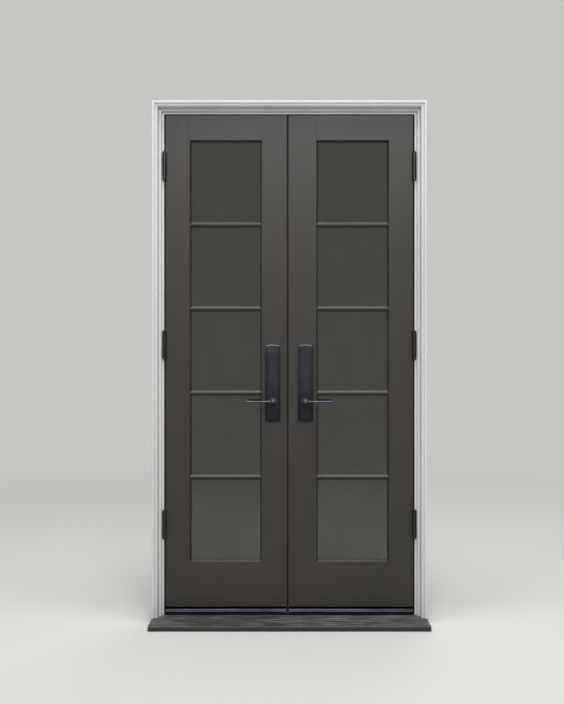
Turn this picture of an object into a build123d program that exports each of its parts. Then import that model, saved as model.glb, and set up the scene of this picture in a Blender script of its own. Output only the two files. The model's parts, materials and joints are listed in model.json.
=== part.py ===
from build123d import *
import os
from dataclasses import dataclass
from math import atan2, cos, degrees, pi, radians, sin, sqrt, tan

os.makedirs("parts", exist_ok=True)

# A pair of outward-opening french doors in their frame. Millimetres, +Z up, -Y is outside.
# The origin is on the underside of the sill, midway between the jambs, in the plane of the
# leaves' outer face.

# Leaves
leaf_height = 2032.0
leaf_thickness = 44.5
left_leaf_width = 504.5
right_leaf_width = 518.5
hinge_stile_width = 101.0
left_meeting_stile_width = 105.0
right_meeting_stile_width = 117.0
top_rail_height = 102.0
bottom_rail_height = 185.0
tenon_length = 55.0
tenon_thickness = 14.0
tenon_shoulder = 20.0
edge_bevel_degrees = 3.0
leaf_ease = 2.0
sticking_width = 6.5
sticking_depth = 12.0
glass_bed_depth = 14.2

# Gaps round the leaves
hinge_gap = 4.5
meeting_gap = 4.0
head_gap = 5.0
leaf_lift = 35.0

# Glass, muntins and glazing stops
pane_thickness = 3.0
pane_spacing = 12.0
pane_edge_gap = 1.5
spacer_width = 5.0
spacer_bar_height = 14.0
lites = 5
muntin_height = 22.0
muntin_flat = 5.0
muntin_face_setback = 2.0
muntin_lip = 2.7
stop_lip = 3.8
stop_top_flat = 2.0

# Jambs
jamb_back_thickness = 19.3
rabbet_step = 12.7
jamb_depth = 116.0
rabbet_depth = 50.0
head_housing = 9.5
anchor_hole_radius = 3.25
anchor_depth = 85.0
anchor_low = 400.0
anchor_spacing = 1300.0

# Mouldings: across, from the jamb's face outwards, and forward of the frame's front
casing_reveal = 10.0
casing_width = 34.0
casing_forward = 49.0
casing_step_width = 9.0
casing_step_forward = 18.0
casing_quirk = 1.5
casing_bead_width = 9.5
casing_bead_setback = 3.5
casing_cove_depth = 2.5
casing_cove_width = 3.0
casing_ease = 1.5
casing_relief_width = 6.0
casing_relief_depth = 1.5

# Sill
sill_thickness = 19.0
sill_forward = 157.0
sill_nose_radius = 2.5
drip_groove = 5.0
drip_groove_setback = 14.0

# Threshold
threshold_front = 2.0
threshold_height = 11.0
threshold_rib_front = 52.0
threshold_rib_height = 29.0
threshold_rib_width = 8.0
threshold_back = 114.0
threshold_back_height = 5.0
threshold_wall = 2.4
threshold_ease = 1.5
bolt_web = 22.0

# Weatherstrips
seal_gap = 0.3
kerf_width = 3.0
kerf_depth = 8.0
bulb_width = 10.0
kerf_from_rabbet = 6.0

# Shoe and sweep
shoe_setback = 3.0
shoe_height = 21.0
shoe_wall = 2.0
shoe_hinge_inset = 2.0
shoe_meeting_inset = 3.0
nose_projection = 7.0
nose_height = 13.0
nose_drop = 1.1
nose_lip_height = 2.2
nose_lip_radius = 1.4
nose_swell = 0.8
sweep_width = 7.0
sweep_neck = 3.0
sweep_depth = 37.0
sweep_gap = 0.4

# Hinges
hinge_height = 114.3
hinge_leaf_width = 44.45
hinge_leaf_thickness = 3.2
hinge_barrel_radius = 8.5
hinge_axis_forward = 8.6
hinge_pin_radius = 3.5
hinge_pin_clearance = 0.08
hinge_knuckles = 5
hinge_knuckle_gap = 0.3
hinge_relief = 0.35
hinge_tip_radius = 6.8
hinge_tip_height = 3.0
top_hinge_drop = 211.0
bottom_hinge_rise = 342.0

# Plates and levers
plate_width = 63.5
plate_height = 321.0
plate_arch = 5.0
plate_corner_radius = 5.5
plate_base = 2.0
plate_bevel_width = 4.6
plate_bevel_rise = 3.0
plate_flat = 0.6
plate_groove_width = 3.0
plate_groove_depth = 1.5
plate_crown = 8.0
plate_crown_radius = 150.0
plate_field_taper_degrees = 32.0
plate_below_lever = 87.0
left_plate_shift = 3.0
right_plate_shift = 1.0
left_backset = 57.0
right_backset = 71.0
lever_height = 885.0
lever_length = 112.6
lever_standoff = 52.0
lever_neck_radius = 8.5
lever_ball_radius = 12.4
lever_root_radius = 5.2
lever_arm_radius = 3.6
lever_tip_radius = 4.1
lever_root_length = 26.0
lever_collar_radius = 14.0
lever_collar_height = 2.0
lever_seat = 3.0
neck_clearance = 0.3
spindle_size = 8.0
spindle_clearance = 0.05
socket_depth = 22.0

# Edge plates, lock case and bolt gear case
edge_plate_width = 20.0
edge_plate_thickness = 3.0
case_thickness = 16.0
case_wall = 2.0
lock_case_depth = 97.0
lock_case_below = 60.0
lock_case_above = 140.0
lock_plate_margin = 22.0
journal_radius = 9.0
journal_clearance = 0.3
bolt_side_clearance = 0.3
stile_hole_radius = 11.0

# Latch bolt and follower
latch_rise = 30.0
latch_height = 16.0
latch_proud = 3.0
latch_body_length = 30.0
latch_nose_flat = 2.0
latch_slope_length = 8.5
latch_tail_height = 8.0
latch_lug_gap = 5.3
latch_lug_width = 6.7
follower_collar_radius = 12.0
follower_arm_width = 8.0
follower_arm_reach = 17.0

# Deadbolt, cam and thumbturn
thumbturn_rise = 92.0
deadbolt_rise = 11.0
deadbolt_height = 22.0
deadbolt_length = 89.0
deadbolt_notch_depth = 8.0
deadbolt_notch_width = 8.4
cam_collar_radius = 9.0
cam_journal_radius = 7.0
cam_arm_width = 5.0
cam_arm_reach = 17.0
cam_rest_degrees = 45.0
cam_square = 6.0
thumbturn_length = 32.0
thumbturn_blade = 8.0
thumbturn_projection = 18.0
thumbturn_collar_radius = 12.0
thumbturn_collar_height = 3.0

# Passive leaf: bolt gear, bolts, strike and keepers
gear_module = 2.0
gear_teeth = 20
gear_thickness = 8.0
gear_backlash = 0.5
gear_root_clearance = 0.5
gear_pressure_degrees = 20.0
gear_case_depth = 71.0
gear_case_below = 52.0
gear_case_above = 66.0
gear_case_lug_low = 46.0
gear_case_lug_high = 7.0
bolt_size = 9.0
bolt_front_clearance = 1.0
bolt_tip_chamfer = 2.0
bolt_travel = 15.7
rack_back = 5.5
rack_ahead = 30.0
rack_foot_height = 12.0
rack_bridge_gap = 2.0
rod_groove_clearance = 1.5
top_bolt_inset = 0.5
bottom_bolt_inset = 0.5
bolt_hole_clearance = 1.25
keeper_length = 44.0
keeper_width = 24.0
keeper_thickness = 2.0
keeper_bottom_clearance = 3.0
strike_depth = 12.8
strike_wall = 1.0
strike_margin = 5.0
strike_clearance = 0.4

# Seal in the active leaf's meeting edge
meeting_seal_depth = 37.0
meeting_seal_width = 5.0
meeting_seal_root = 6.0
meeting_seal_reach = 3.6

# Worked-out places
opening_width = left_leaf_width + meeting_gap + right_leaf_width + 2 * hinge_gap
half_opening = opening_width / 2
sill_top = sill_thickness
leaf_bottom = sill_top + leaf_lift
leaf_top = leaf_bottom + leaf_height
head_underside = leaf_top + head_gap
casing_outer = casing_reveal + casing_width
sill_half_width = half_opening + casing_outer
jamb_outer = half_opening + jamb_back_thickness
lever_z = sill_top + lever_height
top_hinge_z = leaf_top - top_hinge_drop
bottom_hinge_z = leaf_bottom + bottom_hinge_rise
hinge_places = (top_hinge_z, (top_hinge_z + bottom_hinge_z) / 2, bottom_hinge_z)
mid_depth = leaf_thickness / 2
bevel_slope = tan(radians(edge_bevel_degrees))
outer_pane_back = glass_bed_depth + pane_thickness
inner_pane_front = outer_pane_back + pane_spacing
inner_pane_back = inner_pane_front + pane_thickness
edge_plate_back = edge_plate_thickness + (mid_depth - edge_plate_width / 2) * bevel_slope
gear_case_front = edge_plate_back + strike_depth
bolt_setback = gear_case_front + case_wall + bolt_front_clearance


def prism_y(outline, front, back):
    """Prism between two depths from an outline of (x, z) points."""
    face = Plane.XZ * make_face(Polyline(*outline, close=True))
    return Pos(0, back, 0) * extrude(face, back - front, dir=(0, -1, 0))


def prism_z(outline, low, high):
    """Prism between two heights from an outline of (x, y) points."""
    face = make_face(Polyline(*outline, close=True))
    return Pos(0, 0, low) * extrude(face, high - low, dir=(0, 0, 1))


def prism_x(outline, start, end):
    """Prism between two widths from an outline of (y, z) points."""
    face = Plane.YZ * make_face(Polyline(*outline, close=True))
    return Pos(start, 0, 0) * extrude(face, end - start, dir=(1, 0, 0))


def block(x_range, y_range, z_range):
    """Rectangular block from its ranges, given in any order."""
    lows = [min(pair) for pair in (x_range, y_range, z_range)]
    sizes = [abs(pair[1] - pair[0]) for pair in (x_range, y_range, z_range)]
    return Pos(*lows) * Box(*sizes, align=(Align.MIN, Align.MIN, Align.MIN))


def rod_y(x, z, radius, front, back):
    """Round bar along Y."""
    bar = extrude(Plane.XZ * Circle(radius), back - front, dir=(0, 1, 0))
    return Pos(x, front, z) * bar


def rod_z(x, y, radius, low, high):
    """Round bar along Z."""
    return Pos(x, y, low) * extrude(Circle(radius), high - low, dir=(0, 0, 1))


def group(solids):
    """One node of separate solids."""
    return Compound(children=[solid for item in solids for solid in item.solids()])


def mitred_ring(left, right, low, high, section):
    """Four mitred strips round a rectangle; section holds (distance inwards, depth)."""
    width = max(inwards for inwards, depth in section)
    front = min(depth for inwards, depth in section)
    back = max(depth for inwards, depth in section)
    sides = []
    for edge, way in ((left, 1), (right, -1)):
        strip = prism_z([(edge + way * inwards, depth) for inwards, depth in section], low, high)
        inner = edge + way * width
        mitre = [(edge, low), (inner, low + width), (inner, high - width), (edge, high)]
        sides.append(strip & prism_y(mitre, front, back))
    for edge, way in ((low, 1), (high, -1)):
        strip = prism_x([(depth, edge + way * inwards) for inwards, depth in section], left, right)
        inner = edge + way * width
        mitre = [(left, edge), (left + width, inner), (right - width, inner), (right, edge)]
        sides.append(strip & prism_y(mitre, front, back))
    return sides


@dataclass
class Leaf:
    """One leaf; distances across it run from its hinge edge towards its meeting edge."""

    name: str
    way: int
    width: float
    meeting_stile: float
    backset: float
    plate_shift: float

    @property
    def hinge_x(self):
        return -self.way * (half_opening - hinge_gap)

    @property
    def meeting_x(self):
        return self.hinge_x + self.way * self.width

    @property
    def axis_x(self):
        return self.hinge_x - self.way * hinge_gap / 2

    @property
    def lever_x(self):
        return self.meeting_x - self.way * self.backset

    @property
    def plate_x(self):
        return self.lever_x - self.way * self.plate_shift

    @property
    def light(self):
        """Low and high edges across the leaf of the opening between the stiles."""
        return hinge_stile_width, self.width - self.meeting_stile

    def x(self, across):
        """Place along X of a distance across the leaf."""
        return self.hinge_x + self.way * across

    def edge_x(self, depth, inset=0.0):
        """Place along X of the bevelled meeting edge at a depth, moved in by an inset."""
        return self.meeting_x - self.way * (depth * bevel_slope + inset)


left = Leaf(
    "left", 1, left_leaf_width, left_meeting_stile_width, left_backset, left_plate_shift
)
right = Leaf(
    "right", -1, right_leaf_width, right_meeting_stile_width, right_backset, right_plate_shift
)
light_low = leaf_bottom + bottom_rail_height
light_high = leaf_top - top_rail_height
lite_pitch = (light_high - light_low) / lites
muntin_heights = [light_low + lite_pitch * (count + 1) for count in range(lites - 1)]


# Frame

def make_sill(bolt_hole):
    """Board with its front nose rounded along and at both ends, and a drip groove under it."""
    board = block((-sill_half_width, sill_half_width), (-sill_forward, jamb_depth), (0, sill_top))
    front = board.faces().sort_by(Axis.Y)[0]
    board = fillet(front.edges(), sill_nose_radius)
    groove_front = -sill_forward + drip_groove_setback
    groove = block(
        (-sill_half_width, sill_half_width),
        (groove_front, groove_front + drip_groove),
        (0, drip_groove),
    )
    return board - groove - bolt_hole


def make_jamb(way):
    """Side jamb with its rabbet, full height to the top of the head."""
    outline = [
        (way * half_opening, 0),
        (way * jamb_outer, 0),
        (way * jamb_outer, jamb_depth),
        (way * (half_opening - rabbet_step), jamb_depth),
        (way * (half_opening - rabbet_step), rabbet_depth),
        (way * half_opening, rabbet_depth),
    ]
    return prism_z(outline, sill_top, head_underside + jamb_back_thickness)


def make_head_jamb():
    """Head jamb, let into both side jambs."""
    reach = half_opening + head_housing
    outline = [
        (0, head_underside),
        (0, head_underside + jamb_back_thickness),
        (jamb_depth, head_underside + jamb_back_thickness),
        (jamb_depth, head_underside - rabbet_step),
        (rabbet_depth, head_underside - rabbet_step),
        (rabbet_depth, head_underside),
    ]
    return prism_x(outline, -reach, reach)


def anchor_holes(way):
    """Two screw holes through a side jamb, for fixing the frame in its wall."""
    drill = extrude(Plane.YZ * Circle(anchor_hole_radius), 2 * jamb_outer, dir=(way, 0, 0))
    rises = (anchor_low, anchor_low + anchor_spacing)
    return [Pos(0, anchor_depth, sill_top + rise) * drill for rise in rises]


def casing_face(plane):
    """Section of the moulding: step, quirk, bead, cove and fillet, relieved along its back."""
    step_end = casing_reveal + casing_step_width
    riser = step_end + casing_quirk
    bead_end = riser + casing_bead_width
    bead_front = casing_forward - casing_bead_setback
    bead_side = bead_front - casing_bead_width
    cove_end = bead_end + casing_cove_width
    cove_floor = bead_front - casing_cove_depth
    outer = casing_outer
    relief_outer = jamb_back_thickness + casing_relief_width
    edges = [
        Line((casing_reveal, 0), (casing_reveal, casing_step_forward - casing_ease)),
        Line(
            (casing_reveal, casing_step_forward - casing_ease),
            (casing_reveal + casing_ease, casing_step_forward),
        ),
        Line((casing_reveal + casing_ease, casing_step_forward), (step_end, casing_step_forward)),
        Line((step_end, casing_step_forward), (step_end, casing_step_forward - casing_quirk)),
        Line(
            (step_end, casing_step_forward - casing_quirk),
            (riser, casing_step_forward - casing_quirk),
        ),
        Line((riser, casing_step_forward - casing_quirk), (riser, bead_side)),
        ThreePointArc(
            (riser, bead_side),
            (riser + casing_bead_width * (1 - cos(pi / 4)), bead_side + casing_bead_width * sin(pi / 4)),
            (bead_end, bead_front),
        ),
        ThreePointArc(
            (bead_end, bead_front),
            (bead_end + casing_cove_width * 0.4, cove_floor + casing_cove_depth * 0.25),
            (cove_end, cove_floor),
        ),
        Line((cove_end, cove_floor), (cove_end + casing_ease, casing_forward)),
        Line((cove_end + casing_ease, casing_forward), (outer - casing_ease, casing_forward)),
        Line((outer - casing_ease, casing_forward), (outer, casing_forward - casing_ease)),
        Line((outer, casing_forward - casing_ease), (outer, 0)),
        Polyline(
            (outer, 0),
            (relief_outer, 0),
            (relief_outer, casing_relief_depth),
            (jamb_back_thickness, casing_relief_depth),
            (jamb_back_thickness, 0),
            (casing_reveal, 0),
        ),
    ]
    return plane * make_face(edges)


def make_casings():
    """Left, right and head mouldings, mitred where they meet."""
    reach = casing_outer + 1
    mitre = prism_y(
        [
            (-half_opening, head_underside),
            (half_opening, head_underside),
            (half_opening + reach, head_underside + reach),
            (-half_opening - reach, head_underside + reach),
        ],
        -casing_forward - 1,
        1,
    )
    legs = []
    for way in (-1, 1):
        foot = Plane(origin=(way * half_opening, 0, sill_top), x_dir=(way, 0, 0), z_dir=(0, 0, -way))
        height = head_underside + casing_outer - sill_top
        legs.append(extrude(casing_face(foot), height, dir=(0, 0, 1)) - mitre)
    end = Plane(origin=(-sill_half_width, 0, head_underside), x_dir=(0, 0, 1), z_dir=(1, 0, 0))
    head = extrude(casing_face(end), 2 * sill_half_width, dir=(1, 0, 0)) & mitre
    return legs[0], legs[1], head


def make_threshold():
    """Hollow extrusion with a raised rib that the leaves' sweeps and the bottom seal meet."""
    base = sill_top
    rib_top = base + threshold_rib_height
    rib_back = threshold_rib_front + threshold_rib_width
    flat_top = base + threshold_height
    outline = [
        (threshold_front, base),
        (threshold_front, flat_top - threshold_ease),
        (threshold_front + threshold_ease, flat_top),
        (threshold_rib_front, flat_top),
        (threshold_rib_front, rib_top - threshold_ease),
        (threshold_rib_front + threshold_ease, rib_top),
        (rib_back, rib_top),
        (threshold_back, base + threshold_back_height),
        (threshold_back, base),
    ]
    body = prism_x(outline, -half_opening, half_opening)
    web_front = mid_depth - bolt_web / 2
    web_back = mid_depth + bolt_web / 2
    low = base + threshold_wall
    high = flat_top - threshold_wall
    rib_wall = threshold_rib_front + threshold_wall + kerf_depth
    slope = (threshold_rib_height - threshold_back_height) / (threshold_back - rib_back)
    ramp_front = max(rib_wall, rib_back)
    ramp_back = threshold_back - 4 * threshold_wall
    hollows = [
        [(threshold_front + threshold_wall, low), (threshold_front + threshold_wall, high),
         (web_front, high), (web_front, low)],
        [(web_back, low), (web_back, high), (threshold_rib_front - threshold_wall, high),
         (threshold_rib_front - threshold_wall, low)],
        [(ramp_front, low), (ramp_front, rib_top - (ramp_front - rib_back) * slope - 2 * threshold_wall),
         (ramp_back, rib_top - (ramp_back - rib_back) * slope - 2 * threshold_wall), (ramp_back, low)],
    ]
    for hollow in hollows:
        body -= prism_x(hollow, -half_opening, half_opening)
    return body


def seal_section(along, back, front):
    """Kerf-in seal section of (across, depth): a stem in its kerf and a rounded bulb."""
    half = bulb_width / 2
    shoulder = (back - front) * 0.4
    return [
        (along - kerf_width / 2, back + kerf_depth),
        (along - kerf_width / 2, back),
        (along - half, back),
        (along - half, back - shoulder),
        (along - half * 0.55, front),
        (along + half * 0.55, front),
        (along + half, back - shoulder),
        (along + half, back),
        (along + kerf_width / 2, back),
        (along + kerf_width / 2, back + kerf_depth),
    ]


def make_weatherstrips():
    """Seals in both side stops, the head stop and the threshold's rib."""
    front = leaf_thickness + seal_gap
    side = half_opening - kerf_from_rabbet
    reach = side - bulb_width / 2 - seal_gap
    head = head_underside - kerf_from_rabbet
    low = sill_top + threshold_height + seal_gap
    rib = sill_top + (threshold_height + threshold_rib_height) / 2
    strips = [
        prism_z(seal_section(way * side, rabbet_depth, front), low, head_underside - seal_gap)
        for way in (-1, 1)
    ]
    for height, back in ((head, rabbet_depth), (rib, threshold_rib_front)):
        outline = [(depth, along) for along, depth in seal_section(height, back, front)]
        strips.append(prism_x(outline, -reach, reach))
    return strips


# Leaves

def make_stiles(leaf):
    """Hinge stile and meeting stile with the moulded inner edge and the glass rabbet."""
    low, high = leaf.light
    hinge = [
        (0, leaf_ease),
        (leaf_ease, 0),
        (low, 0),
        (low + sticking_width, sticking_depth),
        (low + sticking_width, glass_bed_depth),
        (low, glass_bed_depth),
        (low, leaf_thickness),
        (0, leaf_thickness),
    ]
    meeting = [
        (leaf.width - leaf_ease * bevel_slope, leaf_ease),
        (leaf.width - leaf_ease, 0),
        (high, 0),
        (high - sticking_width, sticking_depth),
        (high - sticking_width, glass_bed_depth),
        (high, glass_bed_depth),
        (high, leaf_thickness),
        (leaf.width - leaf_thickness * bevel_slope, leaf_thickness),
    ]
    return [
        prism_z([(leaf.x(across), depth) for across, depth in outline], leaf_bottom, leaf_top)
        for outline in (hinge, meeting)
    ]


def make_rails(leaf, stiles):
    """Top and bottom rails, coped over the stiles, and their tenons."""
    rails = []
    tenons = []
    low, high = leaf.light
    for outer, inner in ((leaf_top, light_high), (leaf_bottom, light_low)):
        way = 1 if inner > outer else -1
        outline = [
            (0, outer),
            (0, inner),
            (sticking_depth, inner + way * sticking_width),
            (glass_bed_depth, inner + way * sticking_width),
            (glass_bed_depth, inner),
            (leaf_thickness, inner),
            (leaf_thickness, outer),
        ]
        ends = sorted((leaf.x(low), leaf.x(high)))
        rail = prism_x(outline, *ends)
        for stile in stiles:
            rail -= stile
        tenon = block(
            (leaf.x(low - tenon_length), leaf.x(high + tenon_length)),
            (glass_bed_depth, glass_bed_depth + tenon_thickness),
            (outer + way * tenon_shoulder, inner - way * tenon_shoulder),
        )
        rails.append(rail + tenon)
        tenons.append(tenon)
    return rails, tenons


def glass_range(leaf, inset):
    """X and Z ranges of a rectangle inside the rabbet, inset all round."""
    low, high = leaf.light
    ends = sorted((leaf.x(low + inset), leaf.x(high - inset)))
    return ends, (light_low + inset, light_high - inset)


def make_glass(leaf):
    """Outer pane, inner pane and the spacer with a bar behind each muntin."""
    across, up = glass_range(leaf, pane_edge_gap)
    inner_across, inner_up = glass_range(leaf, pane_edge_gap + spacer_width)
    outer_pane = block(across, (glass_bed_depth, outer_pane_back), up)
    inner_pane = block(across, (inner_pane_front, inner_pane_back), up)
    spacer = block(across, (outer_pane_back, inner_pane_front), up)
    spacer -= block(inner_across, (outer_pane_back, inner_pane_front), inner_up)
    for height in muntin_heights:
        half = spacer_bar_height / 2
        spacer += block(across, (outer_pane_back, inner_pane_front), (height - half, height + half))
    return outer_pane, inner_pane, spacer


def make_glazing_stops(leaf):
    """Mitred stops that hold the glass from inside."""
    across, up = glass_range(leaf, 0)
    section = [
        (0, inner_pane_back),
        (sticking_width, inner_pane_back),
        (sticking_width, inner_pane_back + stop_lip),
        (stop_top_flat, leaf_thickness),
        (0, leaf_thickness),
    ]
    return mitred_ring(*across, *up, section)


def make_muntins(leaf, base, face, cut_by):
    """Bevelled bars on one side of the glass, coped against what they end on."""
    across, up = glass_range(leaf, 0)
    lip = base + (muntin_lip if face > base else -muntin_lip)
    bars = []
    for height in muntin_heights:
        outline = [
            (base, height - muntin_height / 2),
            (lip, height - muntin_height / 2),
            (face, height - muntin_flat / 2),
            (face, height + muntin_flat / 2),
            (lip, height + muntin_height / 2),
            (base, height + muntin_height / 2),
        ]
        bar = prism_x(outline, *across)
        for solid in cut_by:
            bar -= solid
        bars.append(bar)
    return bars


def make_shoe(leaf):
    """Hollow extrusion under the leaf with a sloping drip nose at the front."""
    top = leaf_bottom
    low = leaf_bottom - shoe_height
    nose_low = low - nose_drop
    nose_high = nose_low + nose_height
    ends = sorted((leaf.x(shoe_hinge_inset), leaf.x(leaf.width - shoe_meeting_inset)))
    length = ends[1] - ends[0]
    lip_back = -nose_projection + nose_lip_radius
    lip_top = nose_low + nose_lip_height
    root = shoe_setback + shoe_wall
    slope_middle = (
        (shoe_setback - nose_projection) / 2 - nose_swell,
        (lip_top + nose_high) / 2 + nose_swell,
    )
    nose = [
        Line((root, nose_low), (lip_back, nose_low)),
        ThreePointArc(
            (lip_back, nose_low),
            (lip_back - nose_lip_radius * sin(pi / 4), nose_low + nose_lip_radius * (1 - cos(pi / 4))),
            (-nose_projection, nose_low + nose_lip_radius),
        ),
        Line((-nose_projection, nose_low + nose_lip_radius), (-nose_projection, lip_top)),
        ThreePointArc((-nose_projection, lip_top), slope_middle, (shoe_setback, nose_high)),
        Line((shoe_setback, nose_high), (root, nose_high)),
        Line((root, nose_high), (root, nose_low)),
    ]
    body = prism_x(
        [(shoe_setback, low), (shoe_setback, top), (leaf_thickness, top), (leaf_thickness, low)],
        *ends,
    )
    body -= block(
        ends,
        (shoe_setback + shoe_wall, leaf_thickness - shoe_wall),
        (low + shoe_wall, top - shoe_wall),
    )
    body += Pos(ends[0], 0, 0) * extrude(Plane.YZ * make_face(nose), length, dir=(1, 0, 0))
    return body, ends


def make_sweep(ends):
    """Flexible sweep held in a slot of the shoe, just clear of the threshold."""
    low = leaf_bottom - shoe_height
    front = sweep_depth - sweep_width / 2
    back = sweep_depth + sweep_width / 2
    tip = sill_top + threshold_height + sweep_gap
    head = low + shoe_wall + shoe_wall
    outline = [
        (front, tip + sweep_gap),
        (front, low),
        (sweep_depth - sweep_neck / 2, low),
        (sweep_depth - sweep_neck / 2, low + shoe_wall),
        (front, low + shoe_wall),
        (front, head),
        (back, head),
        (back, low + shoe_wall),
        (sweep_depth + sweep_neck / 2, low + shoe_wall),
        (sweep_depth + sweep_neck / 2, low),
        (back, low),
        (back, tip + sweep_gap),
        (back - sweep_gap, tip),
        (front + sweep_gap, tip),
    ]
    return prism_x(outline, *ends)


# Hinges

def make_hinge(leaf, height):
    """Frame leaf, door leaf and pin of one hinge centred at a height."""
    axis_x = leaf.axis_x
    axis_y = -hinge_axis_forward
    low = height - hinge_height / 2
    pitch = hinge_height / hinge_knuckles
    bore = rod_z(
        axis_x,
        axis_y,
        hinge_pin_radius + hinge_pin_clearance,
        low,
        low + hinge_height,
    )
    plates = []
    for own, face in ((0, axis_x - leaf.way * hinge_gap / 2), (1, leaf.hinge_x)):
        outwards = -leaf.way if own == 0 else leaf.way
        plate = block(
            (face, face + outwards * hinge_leaf_thickness),
            (axis_y, axis_y + hinge_leaf_width),
            (low, low + hinge_height),
        )
        for count in range(hinge_knuckles):
            start = low + count * pitch
            if count % 2 == own:
                gap_low = 0 if count == 0 else hinge_knuckle_gap / 2
                gap_high = 0 if count == hinge_knuckles - 1 else hinge_knuckle_gap / 2
                barrel = rod_z(
                    axis_x, axis_y, hinge_barrel_radius, start + gap_low, start + pitch - gap_high
                )
                plate += barrel
            else:
                relief = hinge_barrel_radius + hinge_relief
                plate -= rod_z(axis_x, axis_y, relief, start, start + pitch)
        plates.append(plate - bore)
    pin = rod_z(axis_x, axis_y, hinge_pin_radius, low, low + hinge_height)
    for end, way in ((low, -1), (low + hinge_height, 1)):
        near = end + way * hinge_knuckle_gap
        far = near + way * hinge_tip_height
        pin += rod_z(axis_x, axis_y, hinge_pin_radius, min(end, far), max(end, far))
        tip = rod_z(axis_x, axis_y, hinge_tip_radius, min(near, far), max(near, far))
        pin += chamfer(tip.edges().group_by(Axis.Z)[-1 if way > 0 else 0], 1)
    return plates[0], plates[1], pin


# Plates and levers

def plate_face(inset):
    """Outline of the plate, upright in XZ, moved in by an inset; its arched ends stay concentric."""
    half = plate_width / 2 - inset
    arch_radius = (plate_width ** 2 / 4 + plate_arch ** 2) / (2 * plate_arch) - inset
    low = lever_z - plate_below_lever + inset
    high = low + plate_height - 2 * inset
    drop = arch_radius - sqrt(arch_radius ** 2 - half ** 2)
    edges = [
        Line((-half, low + drop), (-half, high - drop)),
        ThreePointArc((-half, high - drop), (0, high), (half, high - drop)),
        Line((half, high - drop), (half, low + drop)),
        ThreePointArc((half, low + drop), (0, low), (-half, low + drop)),
    ]
    return Plane.XZ * make_face(edges)


def make_plate(leaf, inside):
    """Tall plate: a bevelled border with arched ends, a groove and a softly crowned field."""
    outer = plate_face(0)
    outer = fillet(outer.vertices(), plate_corner_radius)
    border = plate_base + plate_bevel_rise
    groove_edge = plate_bevel_width + plate_flat
    field_edge = plate_face(groove_edge + plate_groove_width)
    groove_floor = border - plate_groove_depth
    low = lever_z - plate_below_lever
    x = leaf.plate_x
    bevel_degrees = degrees(atan2(plate_bevel_width, plate_bevel_rise))
    plate = extrude(outer, plate_base)
    plate += Pos(0, -plate_base, 0) * extrude(outer, plate_bevel_rise, taper=bevel_degrees)
    plate -= Pos(0, -groove_floor, 0) * extrude(plate_face(groove_edge), plate_crown)
    field = extrude(field_edge, plate_crown - groove_floor, taper=plate_field_taper_degrees)
    crown_centre = plate_crown_radius - plate_crown
    crown = rod_z(0, crown_centre, plate_crown_radius, low, low + plate_height)
    plate += (Pos(0, -groove_floor, 0) * field) & crown
    plate -= rod_y(leaf.lever_x - x, lever_z, lever_neck_radius + neck_clearance, -2 * plate_crown, 1)
    if inside:
        plate = Pos(0, leaf_thickness, 0) * mirror(plate, about=Plane.XZ)
    return Pos(x, 0, 0) * plate


def make_lever(leaf):
    """Outer lever: neck, ball and slim tapered arm pointing to the hinge side."""
    neck_back = -(plate_crown - lever_seat)
    neck = rod_y(0, 0, lever_neck_radius, -lever_standoff, neck_back)
    collar_front = -plate_crown - neck_clearance - lever_collar_height
    collar = rod_y(0, 0, lever_collar_radius, collar_front, -plate_crown - neck_clearance)
    ball = Pos(0, -lever_standoff, 0) * Sphere(lever_ball_radius)
    reach = lever_length - lever_tip_radius
    arm_side = [
        Line((0, 0), (0, lever_root_radius)),
        Line((0, lever_root_radius), (lever_root_length, lever_arm_radius)),
        Line((lever_root_length, lever_arm_radius), (reach, lever_tip_radius)),
        ThreePointArc(
            (reach, lever_tip_radius),
            (reach + lever_tip_radius * cos(pi / 4), lever_tip_radius * sin(pi / 4)),
            (lever_length, 0),
        ),
        Line((lever_length, 0), (0, 0)),
    ]
    arm = Rot(0, 180, 0) * revolve(make_face(arm_side), Axis.X)
    lever = neck + collar + ball + Pos(0, -lever_standoff, 0) * arm
    return lever if leaf.way > 0 else mirror(lever, about=Plane.YZ)


def make_levers(leaf):
    """Outer lever with its spindle, and inner lever with the socket that takes it."""
    place = Pos(leaf.lever_x, 0, lever_z)
    lever = make_lever(leaf)
    neck_front = leaf_thickness + plate_crown - lever_seat
    half = spindle_size / 2
    spindle = block(
        (-half, half),
        (-(plate_crown - lever_seat), neck_front + socket_depth - spindle_clearance),
        (-half, half),
    )
    inner = Pos(0, leaf_thickness, 0) * mirror(lever, about=Plane.XZ)
    room = half + spindle_clearance
    inner -= block((-room, room), (neck_front, neck_front + socket_depth), (-room, room))
    return place * (lever + spindle), place * inner


# Lock of the active leaf

def edge_plate(leaf, low, high):
    """Edge plate that follows the bevel of the meeting edge."""
    front = mid_depth - edge_plate_width / 2
    back = mid_depth + edge_plate_width / 2
    outline = [
        (leaf.edge_x(front), front),
        (leaf.edge_x(back), back),
        (leaf.edge_x(back, edge_plate_thickness), back),
        (leaf.edge_x(front, edge_plate_thickness), front),
    ]
    return prism_z(outline, low, high)


def slot(leaf, deep, thickness, low, high):
    """Block through the meeting edge, to a depth across the leaf and centred in its thickness."""
    return block(
        (leaf.meeting_x + leaf.way, leaf.meeting_x - leaf.way * deep),
        (mid_depth - thickness / 2, mid_depth + thickness / 2),
        (low, high),
    )


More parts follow.
